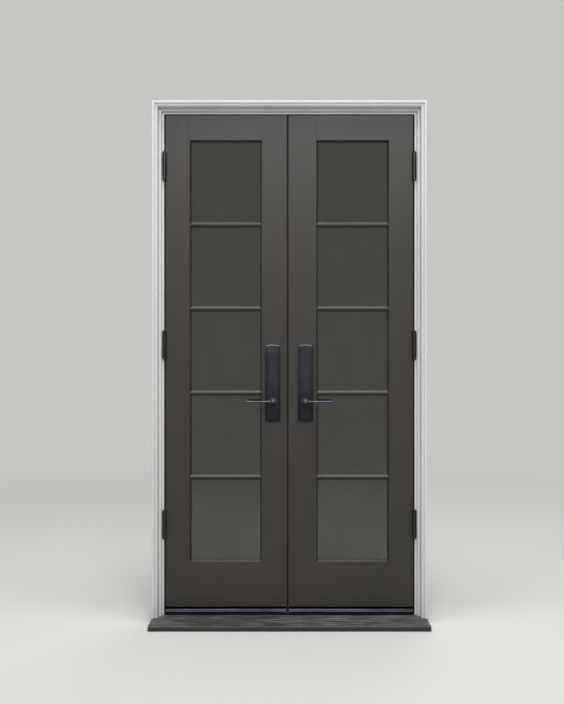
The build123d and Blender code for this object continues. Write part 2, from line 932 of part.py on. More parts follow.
def make_lock_case(leaf):
    """Lock case with its edge plate, and the solid envelope that the stile is mortised for."""
    low = lever_z - lock_case_below
    high = lever_z + lock_case_above
    case = slot(leaf, lock_case_depth, case_thickness, low, high)
    case -= slot(leaf, edge_plate_back, 2 * case_thickness, low, high)
    plate = edge_plate(leaf, low - lock_plate_margin, high + lock_plate_margin)
    envelope = case + plate
    cavity = slot(
        leaf,
        lock_case_depth - case_wall,
        case_thickness - 2 * case_wall,
        low + case_wall,
        high - case_wall,
    )
    front_wall = edge_plate_back + edge_plate_width * bevel_slope + case_wall
    cavity -= slot(leaf, front_wall, 2 * case_thickness, low, high)
    body = envelope - cavity
    for rise, radius in ((0, journal_radius), (thumbturn_rise, cam_journal_radius)):
        body -= rod_y(leaf.lever_x, lever_z + rise, radius + journal_clearance, 0, leaf_thickness)
    bolt_room = case_thickness - 2 * case_wall
    for bottom, height in bolt_openings():
        body -= slot(
            leaf,
            front_wall + case_wall,
            bolt_room,
            bottom - bolt_side_clearance,
            bottom + height + bolt_side_clearance,
        )
    return body, envelope


def bolt_openings():
    """Bottom and height of the latch bolt and the deadbolt."""
    latch_bottom = lever_z + latch_rise - latch_height / 2
    deadbolt_bottom = lever_z + thumbturn_rise + deadbolt_rise
    return (latch_bottom, latch_height), (deadbolt_bottom, deadbolt_height)


def bolt_depths():
    """Front and back of the bolts across the leaf's thickness."""
    half = case_thickness / 2 - case_wall - bolt_side_clearance
    return mid_depth - half, mid_depth + half


def make_latch_bolt(leaf):
    """Latch bolt with its sloped nose, tail and the lug that the follower pushes."""
    front, back = bolt_depths()
    bottom, height = bolt_openings()[0]
    nose = leaf.meeting_x + leaf.way * latch_proud
    body_end = nose - leaf.way * latch_body_length
    bolt = prism_z(
        [
            (nose, front),
            (nose, front + latch_nose_flat),
            (nose - leaf.way * latch_slope_length, back),
            (body_end, back),
            (body_end, front),
        ],
        bottom,
        bottom + height,
    )
    lug_face = leaf.lever_x - leaf.way * latch_lug_gap
    lug_end = lug_face - leaf.way * latch_lug_width
    middle = bottom + height / 2
    tail_low = middle - latch_tail_height / 2
    bolt += block((body_end, lug_end), (front, back), (tail_low, middle + latch_tail_height / 2))
    lug_low = lever_z + follower_collar_radius
    return bolt + block((lug_face, lug_end), (front, back), (lug_low, middle))


def square_hole(x, z, size):
    """Square hole for a spindle along Y."""
    half = size / 2 + spindle_clearance
    return block((x - half, x + half), (-1, leaf_thickness + 1), (z - half, z + half))


def make_turned_hub(leaf, z, collar, journal, arm_width, arm_reach, arm_degrees, square):
    """Hub with journals in the case's walls and one arm, for the follower and the cam."""
    front, back = bolt_depths()
    half_case = case_thickness / 2
    hub = rod_y(0, 0, collar, front, back)
    hub += rod_y(0, 0, journal, mid_depth - half_case, mid_depth + half_case)
    arm = block((-arm_width / 2, arm_width / 2), (front, back), (0, arm_reach))
    hub += Rot(0, arm_degrees, 0) * arm
    return Pos(leaf.lever_x, 0, z) * (hub - square_hole(0, 0, square))


def make_follower(leaf):
    """Follower that the spindle turns, with its arm up."""
    return make_turned_hub(
        leaf,
        lever_z,
        follower_collar_radius,
        journal_radius,
        follower_arm_width,
        follower_arm_reach,
        0,
        spindle_size,
    )


def make_cam(leaf):
    """Cam whose arm stands in the deadbolt's notch."""
    return make_turned_hub(
        leaf,
        lever_z + thumbturn_rise,
        cam_collar_radius,
        cam_journal_radius,
        cam_arm_width,
        cam_arm_reach,
        cam_rest_degrees,
        cam_square,
    )


def make_deadbolt(leaf):
    """Deadbolt, drawn back flush with the edge plate, with the notch for the cam."""
    front, back = bolt_depths()
    bottom, height = bolt_openings()[1]
    tip = leaf.edge_x(back)
    end = leaf.meeting_x - leaf.way * deadbolt_length
    bolt = block((tip, end), (front, back), (bottom, bottom + height))
    reach = cam_arm_reach * sin(radians(cam_rest_degrees))
    notch_middle = leaf.lever_x - leaf.way * (reach - cam_arm_width / 2 * sin(radians(cam_rest_degrees)))
    notch = block(
        (notch_middle - deadbolt_notch_width / 2, notch_middle + deadbolt_notch_width / 2),
        (front, back),
        (bottom, bottom + deadbolt_notch_depth),
    )
    return bolt - notch


def make_thumbturn(leaf):
    """Thumbturn: blade, neck in the inner plate and the square bar to the cam."""
    base = leaf_thickness + plate_crown
    neck_back = base + neck_clearance
    half = cam_square / 2
    start = mid_depth - case_thickness / 2
    turn = block((-half, half), (start, base), (-half, half))
    turn += rod_y(0, 0, cam_journal_radius, base - lever_seat, neck_back)
    turn += rod_y(0, 0, thumbturn_collar_radius, neck_back, neck_back + thumbturn_collar_height)
    blade_front = neck_back + thumbturn_collar_height
    blade = extrude(
        Plane.XZ * SlotOverall(thumbturn_length, thumbturn_blade, rotation=90),
        thumbturn_projection,
        dir=(0, 1, 0),
    )
    turn += Pos(0, blade_front, 0) * blade
    return Pos(leaf.lever_x, 0, lever_z + thumbturn_rise) * turn


# Bolt gear of the passive leaf

def gear_pitch_radius():
    """Pitch radius of the pinion."""
    return gear_module * gear_teeth / 2


def make_pinion(leaf):
    """Pinion turned by the spindle; a tooth points to each rack at rest."""
    front = mid_depth - gear_thickness / 2
    pitch = gear_pitch_radius()
    slope = tan(radians(gear_pressure_degrees))
    root = pitch - gear_module - gear_root_clearance
    tip = pitch + gear_module - gear_root_clearance
    half_pitch = pi * gear_module / 4 - gear_backlash / 2
    outline = []
    for count in range(gear_teeth):
        middle = 2 * pi * count / gear_teeth
        for radius, side in ((root, -1), (pitch, -1), (tip, -1), (tip, 1), (pitch, 1), (root, 1)):
            offset = half_pitch - (radius - pitch) * slope
            outline.append(
                (
                    radius * cos(middle) - side * offset * sin(middle),
                    radius * sin(middle) + side * offset * cos(middle),
                )
            )
    gear = prism_y(outline, front, front + gear_thickness)
    gear += rod_y(0, 0, journal_radius, mid_depth - case_thickness / 2, mid_depth + case_thickness / 2)
    return Pos(leaf.lever_x, 0, lever_z) * (gear - square_hole(0, 0, spindle_size))


def rack_outline(way, low, high):
    """Rack outline of (across, up) points about the pinion's centre, a gap at its middle."""
    pitch_line = gear_pitch_radius()
    tooth_pitch = pi * gear_module
    slope = tan(radians(gear_pressure_degrees))
    half_tooth = tooth_pitch / 4 - gear_backlash / 2
    tip_line = pitch_line - gear_module + gear_root_clearance
    root_line = pitch_line + gear_module + gear_root_clearance
    half_tip = half_tooth - (pitch_line - tip_line) * slope
    half_root = half_tooth + (root_line - pitch_line) * slope
    points = [(root_line, low)]
    first = int(low / tooth_pitch) - 1
    for count in range(first, int(high / tooth_pitch) + 1):
        middle = (count + 0.5) * tooth_pitch
        if middle - half_root > low and middle + half_root < high:
            points += [
                (root_line, middle - half_root),
                (tip_line, middle - half_tip),
                (tip_line, middle + half_tip),
                (root_line, middle + half_root),
            ]
    points += [(root_line, high), (root_line + rack_back, high), (root_line + rack_back, low)]
    return [(way * across, up) for across, up in points]


def bolt_rod(leaf, low, high):
    """Square rod in the groove of the meeting stile."""
    near = leaf.meeting_x - leaf.way * bolt_setback
    return block(
        (near, near - leaf.way * bolt_size),
        (mid_depth - bolt_size / 2, mid_depth + bolt_size / 2),
        (low, high),
    )


def make_bolts(leaf):
    """Top and bottom bolts, each a rack with its rod, both drawn back."""
    front = mid_depth - gear_thickness / 2
    back = front + gear_thickness
    place = Pos(leaf.lever_x, 0, lever_z)
    root_line = gear_pitch_radius() + gear_module + gear_root_clearance
    rod_near = leaf.meeting_x - leaf.way * bolt_setback
    bridge_low = rack_ahead + rack_bridge_gap
    bridge_high = bridge_low + rack_foot_height
    far = -leaf.way * (root_line + rack_back)
    top_rack = place * prism_y(rack_outline(-leaf.way, -rack_ahead, bridge_high), front, back)
    bridge = block(
        (leaf.lever_x + far, rod_near),
        (front, back),
        (lever_z + bridge_low, lever_z + bridge_high),
    )
    top_end = leaf_top - top_bolt_inset
    top_rod = bolt_rod(leaf, lever_z + bridge_low, top_end)
    top_tip = top_rod.faces().sort_by(Axis.Z)[-1]
    top_rod = chamfer(top_tip.edges(), bolt_tip_chamfer)
    foot_low = -rack_ahead
    foot_high = foot_low + rack_foot_height
    bottom_rack = place * prism_y(rack_outline(leaf.way, foot_low, rack_ahead), front, back)
    foot = block(
        (leaf.lever_x + leaf.way * root_line, rod_near),
        (front, back),
        (lever_z + foot_low, lever_z + foot_high),
    )
    bottom_end = leaf_bottom - shoe_height + bottom_bolt_inset
    bottom_rod = bolt_rod(leaf, bottom_end, lever_z + foot_high)
    bottom_tip = bottom_rod.faces().sort_by(Axis.Z)[0]
    bottom_rod = chamfer(bottom_tip.edges(), bolt_tip_chamfer)
    return top_rack + bridge + top_rod, bottom_rack + foot + bottom_rod


def make_gear_case(leaf):
    """Bolt gear case on its full-height edge plate, and the envelope that it fills."""
    low = lever_z - gear_case_below
    high = lever_z + gear_case_above
    back = gear_case_front + gear_case_depth
    box = slot(leaf, back, case_thickness, low, high)
    box -= slot(leaf, gear_case_front, 2 * case_thickness, low, high)
    lug = slot(
        leaf,
        gear_case_front,
        case_thickness,
        lever_z - gear_case_lug_low,
        lever_z + gear_case_lug_high,
    )
    lug -= slot(leaf, edge_plate_thickness, 2 * case_thickness, low, high)
    envelope = box + lug + edge_plate(leaf, leaf_bottom, leaf_top)
    cavity = slot(leaf, back - case_wall, case_thickness - 2 * case_wall, low + case_wall, high - case_wall)
    cavity -= slot(leaf, gear_case_front + case_wall, 2 * case_thickness, low, high)
    body = envelope - cavity
    body -= rod_slot(leaf, low - 1, high + 1, bolt_side_clearance)
    body -= rod_y(leaf.lever_x, lever_z, journal_radius + journal_clearance, 0, leaf_thickness)
    for bottom, height in bolt_openings():
        body -= slot(
            leaf,
            edge_plate_back + edge_plate_width * bevel_slope,
            case_thickness - 2 * case_wall,
            bottom - strike_clearance,
            bottom + height + strike_clearance,
        )
    return body, envelope


def rod_slot(leaf, low, high, clearance):
    """Room for a bolt's rod, with a clearance all round it."""
    near = leaf.meeting_x - leaf.way * (bolt_setback - clearance)
    far = leaf.meeting_x - leaf.way * (bolt_setback + bolt_size + clearance)
    half = bolt_size / 2 + clearance
    return block((near, far), (mid_depth - half, mid_depth + half), (low, high))


def make_strike(leaf):
    """Strike box behind the passive leaf's edge plate, with a pocket for each bolt."""
    (latch_low, latch_size), (bolt_low, bolt_height) = bolt_openings()
    back = gear_case_front
    low = latch_low - strike_margin
    high = bolt_low + bolt_height + strike_margin
    box = slot(leaf, back, case_thickness, low, high)
    box -= slot(leaf, edge_plate_thickness, 2 * case_thickness, low, high)
    box -= edge_plate(leaf, low, high)
    envelope = box
    for bottom, height in ((latch_low, latch_size), (bolt_low, bolt_height)):
        box -= slot(
            leaf,
            back - strike_wall,
            case_thickness - 2 * case_wall,
            bottom - strike_clearance,
            bottom + height + strike_clearance,
        )
    return box, envelope


def make_keepers(leaf):
    """Keeper plates flush in the head jamb and the threshold, for the two bolts."""
    middle = leaf.meeting_x - leaf.way * (bolt_setback + bolt_size / 2)
    half = bolt_size / 2 + bolt_hole_clearance
    plates = []
    for start, end in (
        (head_underside, head_underside + keeper_thickness),
        (sill_top + threshold_height - keeper_thickness, sill_top + threshold_height),
    ):
        plate = block(
            (middle - keeper_length / 2, middle + keeper_length / 2),
            (mid_depth - keeper_width / 2, mid_depth + keeper_width / 2),
            (start, end),
        )
        hole = block(
            (middle - half, middle + half),
            (mid_depth - half, mid_depth + half),
            (start, end),
        )
        plates.append((plate, hole, middle, half))
    return plates


def bolt_well(keeper, low, high):
    """Hole below or above a keeper that takes the bolt's tip."""
    plate, hole, middle, half = keeper
    return block((middle - half, middle + half), (mid_depth - half, mid_depth + half), (low, high))


def make_meeting_seal(leaf):
    """Seal in a kerf of the active leaf's meeting edge, standing in the gap."""
    front = meeting_seal_depth - meeting_seal_width / 2
    back = meeting_seal_depth + meeting_seal_width / 2
    neck = meeting_seal_width / 4
    root = leaf.edge_x(meeting_seal_depth, meeting_seal_root)
    outline = [
        (leaf.edge_x(front), front),
        (leaf.edge_x(meeting_seal_depth, -meeting_seal_reach), meeting_seal_depth),
        (leaf.edge_x(back), back),
        (leaf.edge_x(meeting_seal_depth + neck), meeting_seal_depth + neck),
        (root, meeting_seal_depth + neck),
        (root, meeting_seal_depth - neck),
        (leaf.edge_x(meeting_seal_depth - neck), meeting_seal_depth - neck),
    ]
    return prism_z(outline, leaf_bottom, leaf_top)


def make_leaf(leaf):
    """All the nodes that the two leaves have in common, with what the frame needs of them."""
    nodes = {}
    stiles = make_stiles(leaf)
    rails, tenons = make_rails(leaf, stiles)
    outer_pane, inner_pane, spacer = make_glass(leaf)
    stops = make_glazing_stops(leaf)
    hinges = [make_hinge(leaf, height) for height in hinge_places]
    shoe, shoe_ends = make_shoe(leaf)
    hinge_stile, meeting_stile = stiles
    for tenon in tenons:
        hinge_stile -= tenon
        meeting_stile -= tenon
    for frame_half, door_half, pin in hinges:
        hinge_stile -= door_half
    meeting_stile -= rod_y(leaf.lever_x, lever_z, stile_hole_radius, -1, leaf_thickness + 1)
    nodes["hinge_stile"] = hinge_stile
    nodes["meeting_stile"] = meeting_stile
    nodes["top_rail"], nodes["bottom_rail"] = rails
    nodes["outer_pane"] = outer_pane
    nodes["inner_pane"] = inner_pane
    nodes["glass_spacer"] = spacer
    nodes["glazing_stops"] = group(stops)
    nodes["outer_muntins"] = group(
        make_muntins(leaf, glass_bed_depth, muntin_face_setback, stiles)
    )
    nodes["inner_muntins"] = group(
        make_muntins(leaf, inner_pane_back, leaf_thickness - muntin_face_setback, stops)
    )
    nodes["frame_hinges"] = group([hinge[0] for hinge in hinges])
    nodes["door_hinges"] = group([hinge[1] for hinge in hinges])
    nodes["hinge_pins"] = group([hinge[2] for hinge in hinges])
    nodes["shoe"] = shoe
    nodes["sweep"] = make_sweep(shoe_ends)
    nodes["shoe"] -= nodes["sweep"]
    nodes["outer_plate"] = make_plate(leaf, inside=False)
    nodes["inner_plate"] = make_plate(leaf, inside=True)
    nodes["outer_lever"], nodes["inner_lever"] = make_levers(leaf)
    return nodes


# The passive leaf and its bolt gear
passive = make_leaf(left)
gear_case, gear_envelope = make_gear_case(left)
strike, strike_envelope = make_strike(left)
groove_room = rod_slot(left, leaf_bottom, leaf_top, rod_groove_clearance)
groove_half = bolt_size / 2 + rod_groove_clearance
groove = slot(left, bolt_setback + bolt_size, 2 * groove_half, leaf_bottom, leaf_top)
passive["meeting_stile"] -= groove + groove_room
passive["meeting_stile"] -= gear_envelope
passive["meeting_stile"] -= strike_envelope
passive["shoe"] -= rod_slot(left, leaf_bottom - shoe_height, leaf_bottom, bolt_side_clearance)
passive["gear_case"] = gear_case
passive["strike"] = strike
passive["pinion"] = make_pinion(left)
passive["top_bolt"], passive["bottom_bolt"] = make_bolts(left)

# The active leaf and its lock
active = make_leaf(right)
lock_case, lock_envelope = make_lock_case(right)
turn_hole = rod_y(
    right.lever_x,
    lever_z + thumbturn_rise,
    cam_journal_radius + neck_clearance,
    mid_depth,
    leaf_thickness + 2 * plate_crown,
)
active["meeting_seal"] = make_meeting_seal(right)
active["meeting_stile"] -= lock_envelope
active["meeting_stile"] -= turn_hole
active["meeting_stile"] -= active["meeting_seal"]
active["inner_plate"] -= turn_hole
active["lock_case"] = lock_case
active["follower"] = make_follower(right)
active["latch_bolt"] = make_latch_bolt(right)
active["deadbolt"] = make_deadbolt(right)
active["deadbolt_cam"] = make_cam(right)
active["thumbturn"] = make_thumbturn(right)

# The frame
keepers = make_keepers(left)
head_well = bolt_well(keepers[0], head_underside, leaf_top + bolt_travel + keeper_bottom_clearance)
sill_well = bolt_well(keepers[1], sill_top - keeper_bottom_clearance, sill_top + threshold_height)
keeper_plates = [plate - hole for plate, hole, middle, half in keepers]
weatherstrips = make_weatherstrips()
side_jambs = [make_jamb(way) for way in (-1, 1)]
head_jamb = make_head_jamb()
threshold = make_threshold()
for jamb in side_jambs:
    threshold -= jamb
side_jambs = [jamb - head_jamb for jamb in side_jambs]
for strip in weatherstrips:
    side_jambs = [jamb - strip for jamb in side_jambs]
    head_jamb -= strip
    threshold -= strip
for plate in keeper_plates:
    head_jamb -= plate
    threshold -= plate
head_jamb -= head_well
threshold -= sill_well
for count, (way, nodes) in enumerate(((-1, passive), (1, active))):
    side_jambs[count] -= nodes["frame_hinges"]
    for hole in anchor_holes(way):
        side_jambs[count] -= hole
left_casing, right_casing, head_casing = make_casings()
frame = {
    "sill": make_sill(sill_well),
    "threshold": threshold,
    "left_jamb": side_jambs[0],
    "right_jamb": side_jambs[1],
    "head_jamb": head_jamb,
    "left_moulding": left_casing,
    "right_moulding": right_casing,
    "head_moulding": head_casing,
    "weatherstrips": group(weatherstrips),
    "bolt_keepers": group(keeper_plates),
}
parts = dict(frame)
for leaf, nodes in ((left, passive), (right, active)):
    for name, shape in nodes.items():
        parts[f"{leaf.name}_{name}"] = shape
for name, shape in parts.items():
    export_step(shape, f"parts/{name}.step")
print(len(parts), "nodes")
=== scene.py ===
"""Looks of a pair of french doors in their frame: finishes, screws, seals, light and camera."""

import json
import logging
import math
from collections.abc import Sequence
from dataclasses import dataclass
from enum import Enum

import bmesh
import bpy
from mathutils import Matrix, Vector


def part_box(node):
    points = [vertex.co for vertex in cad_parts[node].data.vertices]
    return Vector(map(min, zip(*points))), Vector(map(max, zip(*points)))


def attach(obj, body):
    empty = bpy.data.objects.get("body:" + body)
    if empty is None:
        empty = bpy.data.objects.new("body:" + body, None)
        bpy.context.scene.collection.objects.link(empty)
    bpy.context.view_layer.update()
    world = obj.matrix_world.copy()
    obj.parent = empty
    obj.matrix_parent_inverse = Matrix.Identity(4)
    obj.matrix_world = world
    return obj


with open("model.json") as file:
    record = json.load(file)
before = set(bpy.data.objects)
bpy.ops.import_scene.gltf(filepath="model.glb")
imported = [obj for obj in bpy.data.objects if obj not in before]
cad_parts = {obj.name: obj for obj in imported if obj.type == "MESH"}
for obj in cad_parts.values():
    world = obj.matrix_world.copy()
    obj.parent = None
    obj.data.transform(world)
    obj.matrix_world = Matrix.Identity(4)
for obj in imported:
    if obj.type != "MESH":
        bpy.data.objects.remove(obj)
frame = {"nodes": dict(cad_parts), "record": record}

log = logging.getLogger("french_doors")
MILLIMETRE = 0.001
RANGE = "ShaderNodeMapRange"
MATH = "ShaderNodeMath"
Colour = tuple[float, float, float, float]
Point = tuple[float, float, float]
Span = tuple[float, float]
Socket = bpy.types.NodeSocket
Inputs = Sequence[object] | dict[str | int, object]

# The values of a pattern mostly lie in the first span. The second cuts it crisper.
WHOLE_SPAN = (0.3, 0.7)
CRISP_SPAN = (0.35, 0.65)


class Grain(Enum):
    """The way the brush and the wood's grain run along a member."""

    UPRIGHT = "upright"
    ACROSS = "across"

    def run(self, length: float) -> Point:
        """How much longer a patch is along each axis, if it is so much longer this way."""
        return (1.0, 1.0, length) if self is Grain.UPRIGHT else (length, 1.0, 1.0)


class Outline(Enum):
    """What a screw's head looks like."""

    OVAL = "oval"
    PAN = "pan"


def linear(code: str) -> Colour:
    """Turns an sRGB hex colour into Blender's linear one.

    Args:
        code: six hex digits, without a mark before them.

    Returns:
        Red, green, blue and an alpha of one.
    """
    channels = []
    for start in (0, 2, 4):
        value = int(code[start:start + 2], 16) / 255
        channels.append(value / 12.92 if value <= 0.04045 else ((value + 0.055) / 1.055) ** 2.4)
    return (*channels, 1.0)


def add_node(
    tree: bpy.types.NodeTree, kind: str, inputs: Inputs = (), **settings: object
) -> bpy.types.Node:
    """Adds one node, with its settings, values and links.

    Args:
        tree: the tree that the node joins.
        kind: the node's type.
        inputs: values or other nodes' output sockets, in the order of the inputs, or by the
            name or number of each.
        settings: the node's own properties.

    Returns:
        The new node.
    """
    node = tree.nodes.new(kind)
    for name, value in settings.items():
        setattr(node, name, value)
    for name, value in inputs.items() if isinstance(inputs, dict) else enumerate(inputs):
        if isinstance(value, Socket):
            tree.links.new(value, node.inputs[name])
        else:
            node.inputs[name].default_value = value
    return node


class Bench:
    """Something that is built up as a tree of nodes."""

    tree: bpy.types.NodeTree

    def add(
        self, kind: str, inputs: Inputs = (), output: str | int = 0, **settings: object
    ) -> Socket:
        """Adds one node to the tree.

        Args:
            kind: the node's type.
            inputs: its values and links, as add_node takes them.
            output: the name or number of the output that is wanted.
            settings: the node's own properties.

        Returns:
            The output.
        """
        return add_node(self.tree, kind, inputs, **settings).outputs[output]


@dataclass
class Surface(Bench):
    """A material under construction: its tree, its shader and its place on the object, which is
    also given along X, Y and Z."""

    material: bpy.types.Material
    tree: bpy.types.NodeTree
    shader: bpy.types.Node
    place: Socket
    across: Socket
    depth: Socket
    rise: Socket

    @classmethod
    def named(cls, name: str) -> "Surface":
        """Starts a material with one Principled shader and Object coordinates.

        Args:
            name: the material's name.

        Returns:
            The surface.
        """
        material = bpy.data.materials.new(name)
        material.use_nodes = True
        tree = material.node_tree
        tree.nodes.clear()
        shader = add_node(tree, "ShaderNodeBsdfPrincipled")
        add_node(tree, "ShaderNodeOutputMaterial", {"Surface": shader.outputs["BSDF"]})
        place = add_node(tree, "ShaderNodeTexCoord").outputs["Object"]
        axes = add_node(tree, "ShaderNodeSeparateXYZ", [place]).outputs
        return cls(material, tree, shader, place, axes["X"], axes["Y"], axes["Z"])

    def patches(
        self, size: float, stretch: Point = (1.0, 1.0, 1.0), detail: float = 3.0
    ) -> Socket:
        """Adds a pattern of soft patches.

        Args:
            size: the width of one patch, in metres.
            stretch: how many times longer a patch is along each axis.
            detail: how many finer layers lie on it.

        Returns:
            The pattern's value, from zero to one.
        """
        scale = tuple(1 / times for times in stretch)
        mapped = self.add("ShaderNodeMapping", {"Vector": self.place, "Scale": scale})
        inputs = {"Vector": mapped, "Scale": 1 / size, "Detail": detail}
        return self.add("ShaderNodeTexNoise", inputs, "Fac")

    def slope(self) -> Socket:
        """How squarely the face looks up, from minus one, for down, to one."""
        normal = self.add("ShaderNodeNewGeometry", output="Normal")
        return self.add("ShaderNodeSeparateXYZ", [normal], "Z")

    def all_of(self, *shares: Socket) -> Socket:
        """Multiplies shares, so that the result is high only where each of them is.

        Args:
            shares: values from zero to one.

        Returns:
            Their product.
        """
        total = shares[0]
        for share in shares[1:]:
            total = self.add(MATH, [total, share], operation="MULTIPLY")
        return total

    def band(self, value: Socket, low: float, high: float, fade: float) -> Socket:
        """Marks where a value lies between two ends.

        Args:
            value: the value.
            low: the lower end.
            high: the upper end.
            fade: how far beyond its ends the band fades out.

        Returns:
            One between the ends, and nought beyond them.
        """
        rising = self.add(RANGE, [value, low - fade, low])
        falling = self.add(RANGE, [value, high, high + fade, 1.0, 0.0])
        return self.all_of(rising, falling)

    def coat(self, under: object, over: str, *shares: Socket) -> Socket:
        """Lays a colour over another, where every share is high.

        Args:
            under: the colour below, as a socket or a linear colour.
            over: the colour above, in hex.
            shares: values from zero to one.

        Returns:
            The mixed colour.
        """
        # The colour sockets of this node share their names with its others, so they go by number.
        inputs = {0: self.all_of(*shares), 6: under, 7: linear(over)}
        return self.add("ShaderNodeMix", inputs, 2, data_type="RGBA")

    def relief(self, soft_edge: float, *layers: tuple[Socket, float]) -> Socket:
        """Stacks patterns as fine relief over a normal that rounds sharp edges.

        Args:
            soft_edge: the radius of the rounding, in metres.
            layers: pairs of a pattern and its height in metres.

        Returns:
            The normal for the shader.
        """
        normal = self.add("ShaderNodeBevel", {"Radius": soft_edge}, samples=4)
        for pattern, height in layers:
            inputs = {"Height": pattern, "Distance": height, "Normal": normal}
            normal = self.add("ShaderNodeBump", inputs)
        return normal

    def set(self, values: dict[str, object]) -> None:
        """Sets or links the shader's own inputs.

        Args:
            values: a value or a socket for each input, by its name.
        """
        for name, value in values.items():
            if isinstance(value, Socket):
                self.tree.links.new(value, self.shader.inputs[name])
            else:
                self.shader.inputs[name].default_value = value


@dataclass(frozen=True)
class BrushedPaint:
    """Satin enamel brushed on planed softwood: fine ridges lie along each member, and the
    sheen varies a little, so broad faces show a soft, uneven gleam. Dust gathers low down."""

    name: str
    colour: str
    shade: str
    dust: str
    roughness: float
    specular: float
    dust_share: float
    dust_low: float
    dust_high: float
    # Real ridges are about 0.3 mm wide, too fine to show, so these are drawn coarser.
    ridge_width: float = 1.6 * MILLIMETRE
    ridge_height: float = 0.004 * MILLIMETRE
    ridge_length: float = 60.0
    ridges_to_a_lap: float = 9.0
    sheen: float = 0.02
    tone_width: float = 220 * MILLIMETRE
    tone_length: float = 2.5
    dust_patch: float = 35 * MILLIMETRE
    dust_thin: float = 0.3
    soft_edge: float = 0.8 * MILLIMETRE

    def surface(self, grain: Grain, name: str = "") -> tuple[Surface, Socket]:
        """Builds the paint for members whose grain runs one way.

        Args:
            grain: the way of the brush.
            name: the material's name, where it isn't the paint's own.

        Returns:
            The surface, and the colour that its shader is linked to.
        """
        surface = Surface.named(name or f"{self.name}_{grain.value}")
        run = grain.run(self.ridge_length)
        ridges = surface.patches(self.ridge_width, run)
        laps = surface.patches(self.ridge_width * self.ridges_to_a_lap, run, detail=2.0)
        tone = surface.patches(self.tone_width, Grain.UPRIGHT.run(self.tone_length), detail=2.0)
        base = surface.coat(
            linear(self.colour), self.shade, surface.add(RANGE, [tone, *CRISP_SPAN])
        )
        low = surface.add(
            RANGE, [surface.rise, self.dust_low, self.dust_high, self.dust_share, 0.0]
        )
        blotches = surface.patches(self.dust_patch)
        patchy = surface.add(RANGE, [blotches, *WHOLE_SPAN, self.dust_thin, 1.0])
        colour = surface.coat(base, self.dust, low, patchy)
        gleam = (self.roughness - self.sheen, self.roughness + self.sheen)
        surface.set({
            "Base Color": colour,
            "Roughness": surface.add(RANGE, [laps, *WHOLE_SPAN, *gleam]),
            "IOR": 1.5,
            "Specular IOR Level": self.specular,
            "Normal": surface.relief(
                self.soft_edge, (laps, self.ridge_height), (ridges, self.ridge_height)
            ),
        })
        return surface, colour

    def material(self, grain: Grain) -> bpy.types.Material:
        """The plain paint, for members whose grain runs one way."""
        return self.surface(grain)[0].material


@dataclass(frozen=True)
class SlitShadedPaint:
    """The casing's enamel on a jamb, with painted shade in its rabbet: the rabbet is drawn in the
    leaves' dark colour, so the slit round a closed leaf reads black as shade."""

    paint: BrushedPaint
    slit_shade: str
    left: float
    right: float
    leaf_top: float
    front: float = 0.4 * MILLIMETRE
    back: float = 50.0 * MILLIMETRE
    edge: float = 0.2 * MILLIMETRE
    reach: float = 1.0 * MILLIMETRE
    head_gap: float = 5.0 * MILLIMETRE

    def material(self, grain: Grain) -> bpy.types.Material:
        """Builds the paint with the painted shade in its rabbet.

        Args:
            grain: the way of the brush.

        Returns:
            The material.
        """
        surface, colour = self.paint.surface(grain, f"jamb_enamel_{grain.value}")
        # Painted shade: the rabbet, between the jambs and below the head, is drawn in the dark colour.
        deep = surface.band(surface.depth, self.front, self.back, self.edge)
        between_jambs = surface.band(
            surface.across, self.left - self.reach, self.right + self.reach, self.edge
        )
        top = self.leaf_top + self.head_gap + self.reach
        below_head = surface.add(RANGE, [surface.rise, top, top + self.edge, 1.0, 0.0])
        surface.set({
            "Base Color": surface.coat(colour, self.slit_shade, deep, between_jambs, below_head)
        })
        return surface.material


@dataclass(frozen=True)
class WeatheredPaint:
    """The sill's enamel, chalked by rain: pale specks and long streaks lie on its top. Its front
    edge is drawn lighter than its front, partly as wear and partly as a painted highlight."""

    paint: BrushedPaint
    chalk: str
    edge_wear_and_highlight: str
    top: float
    front: float
    looks_up: Span = (0.6, 0.95)
    # Real specks are about 1 mm wide, too fine to show, so these are drawn coarser.
    speck: float = 5 * MILLIMETRE
    speck_span: Span = (0.56, 0.70)
    speck_share: float = 0.50
    streak: float = 9 * MILLIMETRE
    streak_length: float = 14.0
    streak_span: Span = (0.42, 0.68)
    streak_share: float = 0.48
    bare_patch: float = 160 * MILLIMETRE
    bare_length: float = 1.5
    bare_span: Span = (0.35, 0.6)
    bare_share: float = 0.35
    edge_width: float = 5 * MILLIMETRE
    edge_drop: float = 3 * MILLIMETRE
    edge_fade: float = 2 * MILLIMETRE
    wear_and_highlight_span: Span = (0.0, 0.3)
    wear_and_highlight_share: Span = (0.15, 0.55)

    def material(self, grain: Grain) -> bpy.types.Material:
        """Builds the weathered paint.

        Args:
            grain: the way of the brush.

        Returns:
            The material.
        """
        surface, colour = self.paint.surface(grain)
        upward = surface.add(RANGE, [surface.slope(), *self.looks_up])
        specks = surface.patches(self.speck, detail=4.0)
        specks = surface.add(RANGE, [specks, *self.speck_span, 0.0, self.speck_share])
        streaks = surface.patches(self.streak, Grain.ACROSS.run(self.streak_length), detail=4.0)
        streaks = surface.add(RANGE, [streaks, *self.streak_span, 0.0, self.streak_share])
        chalked = surface.add(MATH, [specks, streaks], operation="MAXIMUM")
        bare = surface.patches(self.bare_patch, Grain.ACROSS.run(self.bare_length), detail=2.0)
        bare = surface.add(RANGE, [bare, *self.bare_span, self.bare_share, 1.0])
        chalky = surface.coat(colour, self.chalk, upward, bare, chalked)
        # Painted highlight mixed with wear: the front top edge is drawn lighter, in patches.
        back_edge = self.front + self.edge_width
        low_edge = self.top - self.edge_drop
        near_front = surface.add(
            RANGE, [surface.depth, back_edge, back_edge + self.edge_fade, 1.0, 0.0]
        )
        near_top = surface.add(RANGE, [surface.rise, low_edge - self.edge_fade, low_edge])
        rubbed = surface.add(RANGE, [specks, *self.wear_and_highlight_span, *self.wear_and_highlight_share])
        surface.set({
            "Base Color": surface.coat(chalky, self.edge_wear_and_highlight, near_front, near_top, rubbed)
        })
        return surface.material


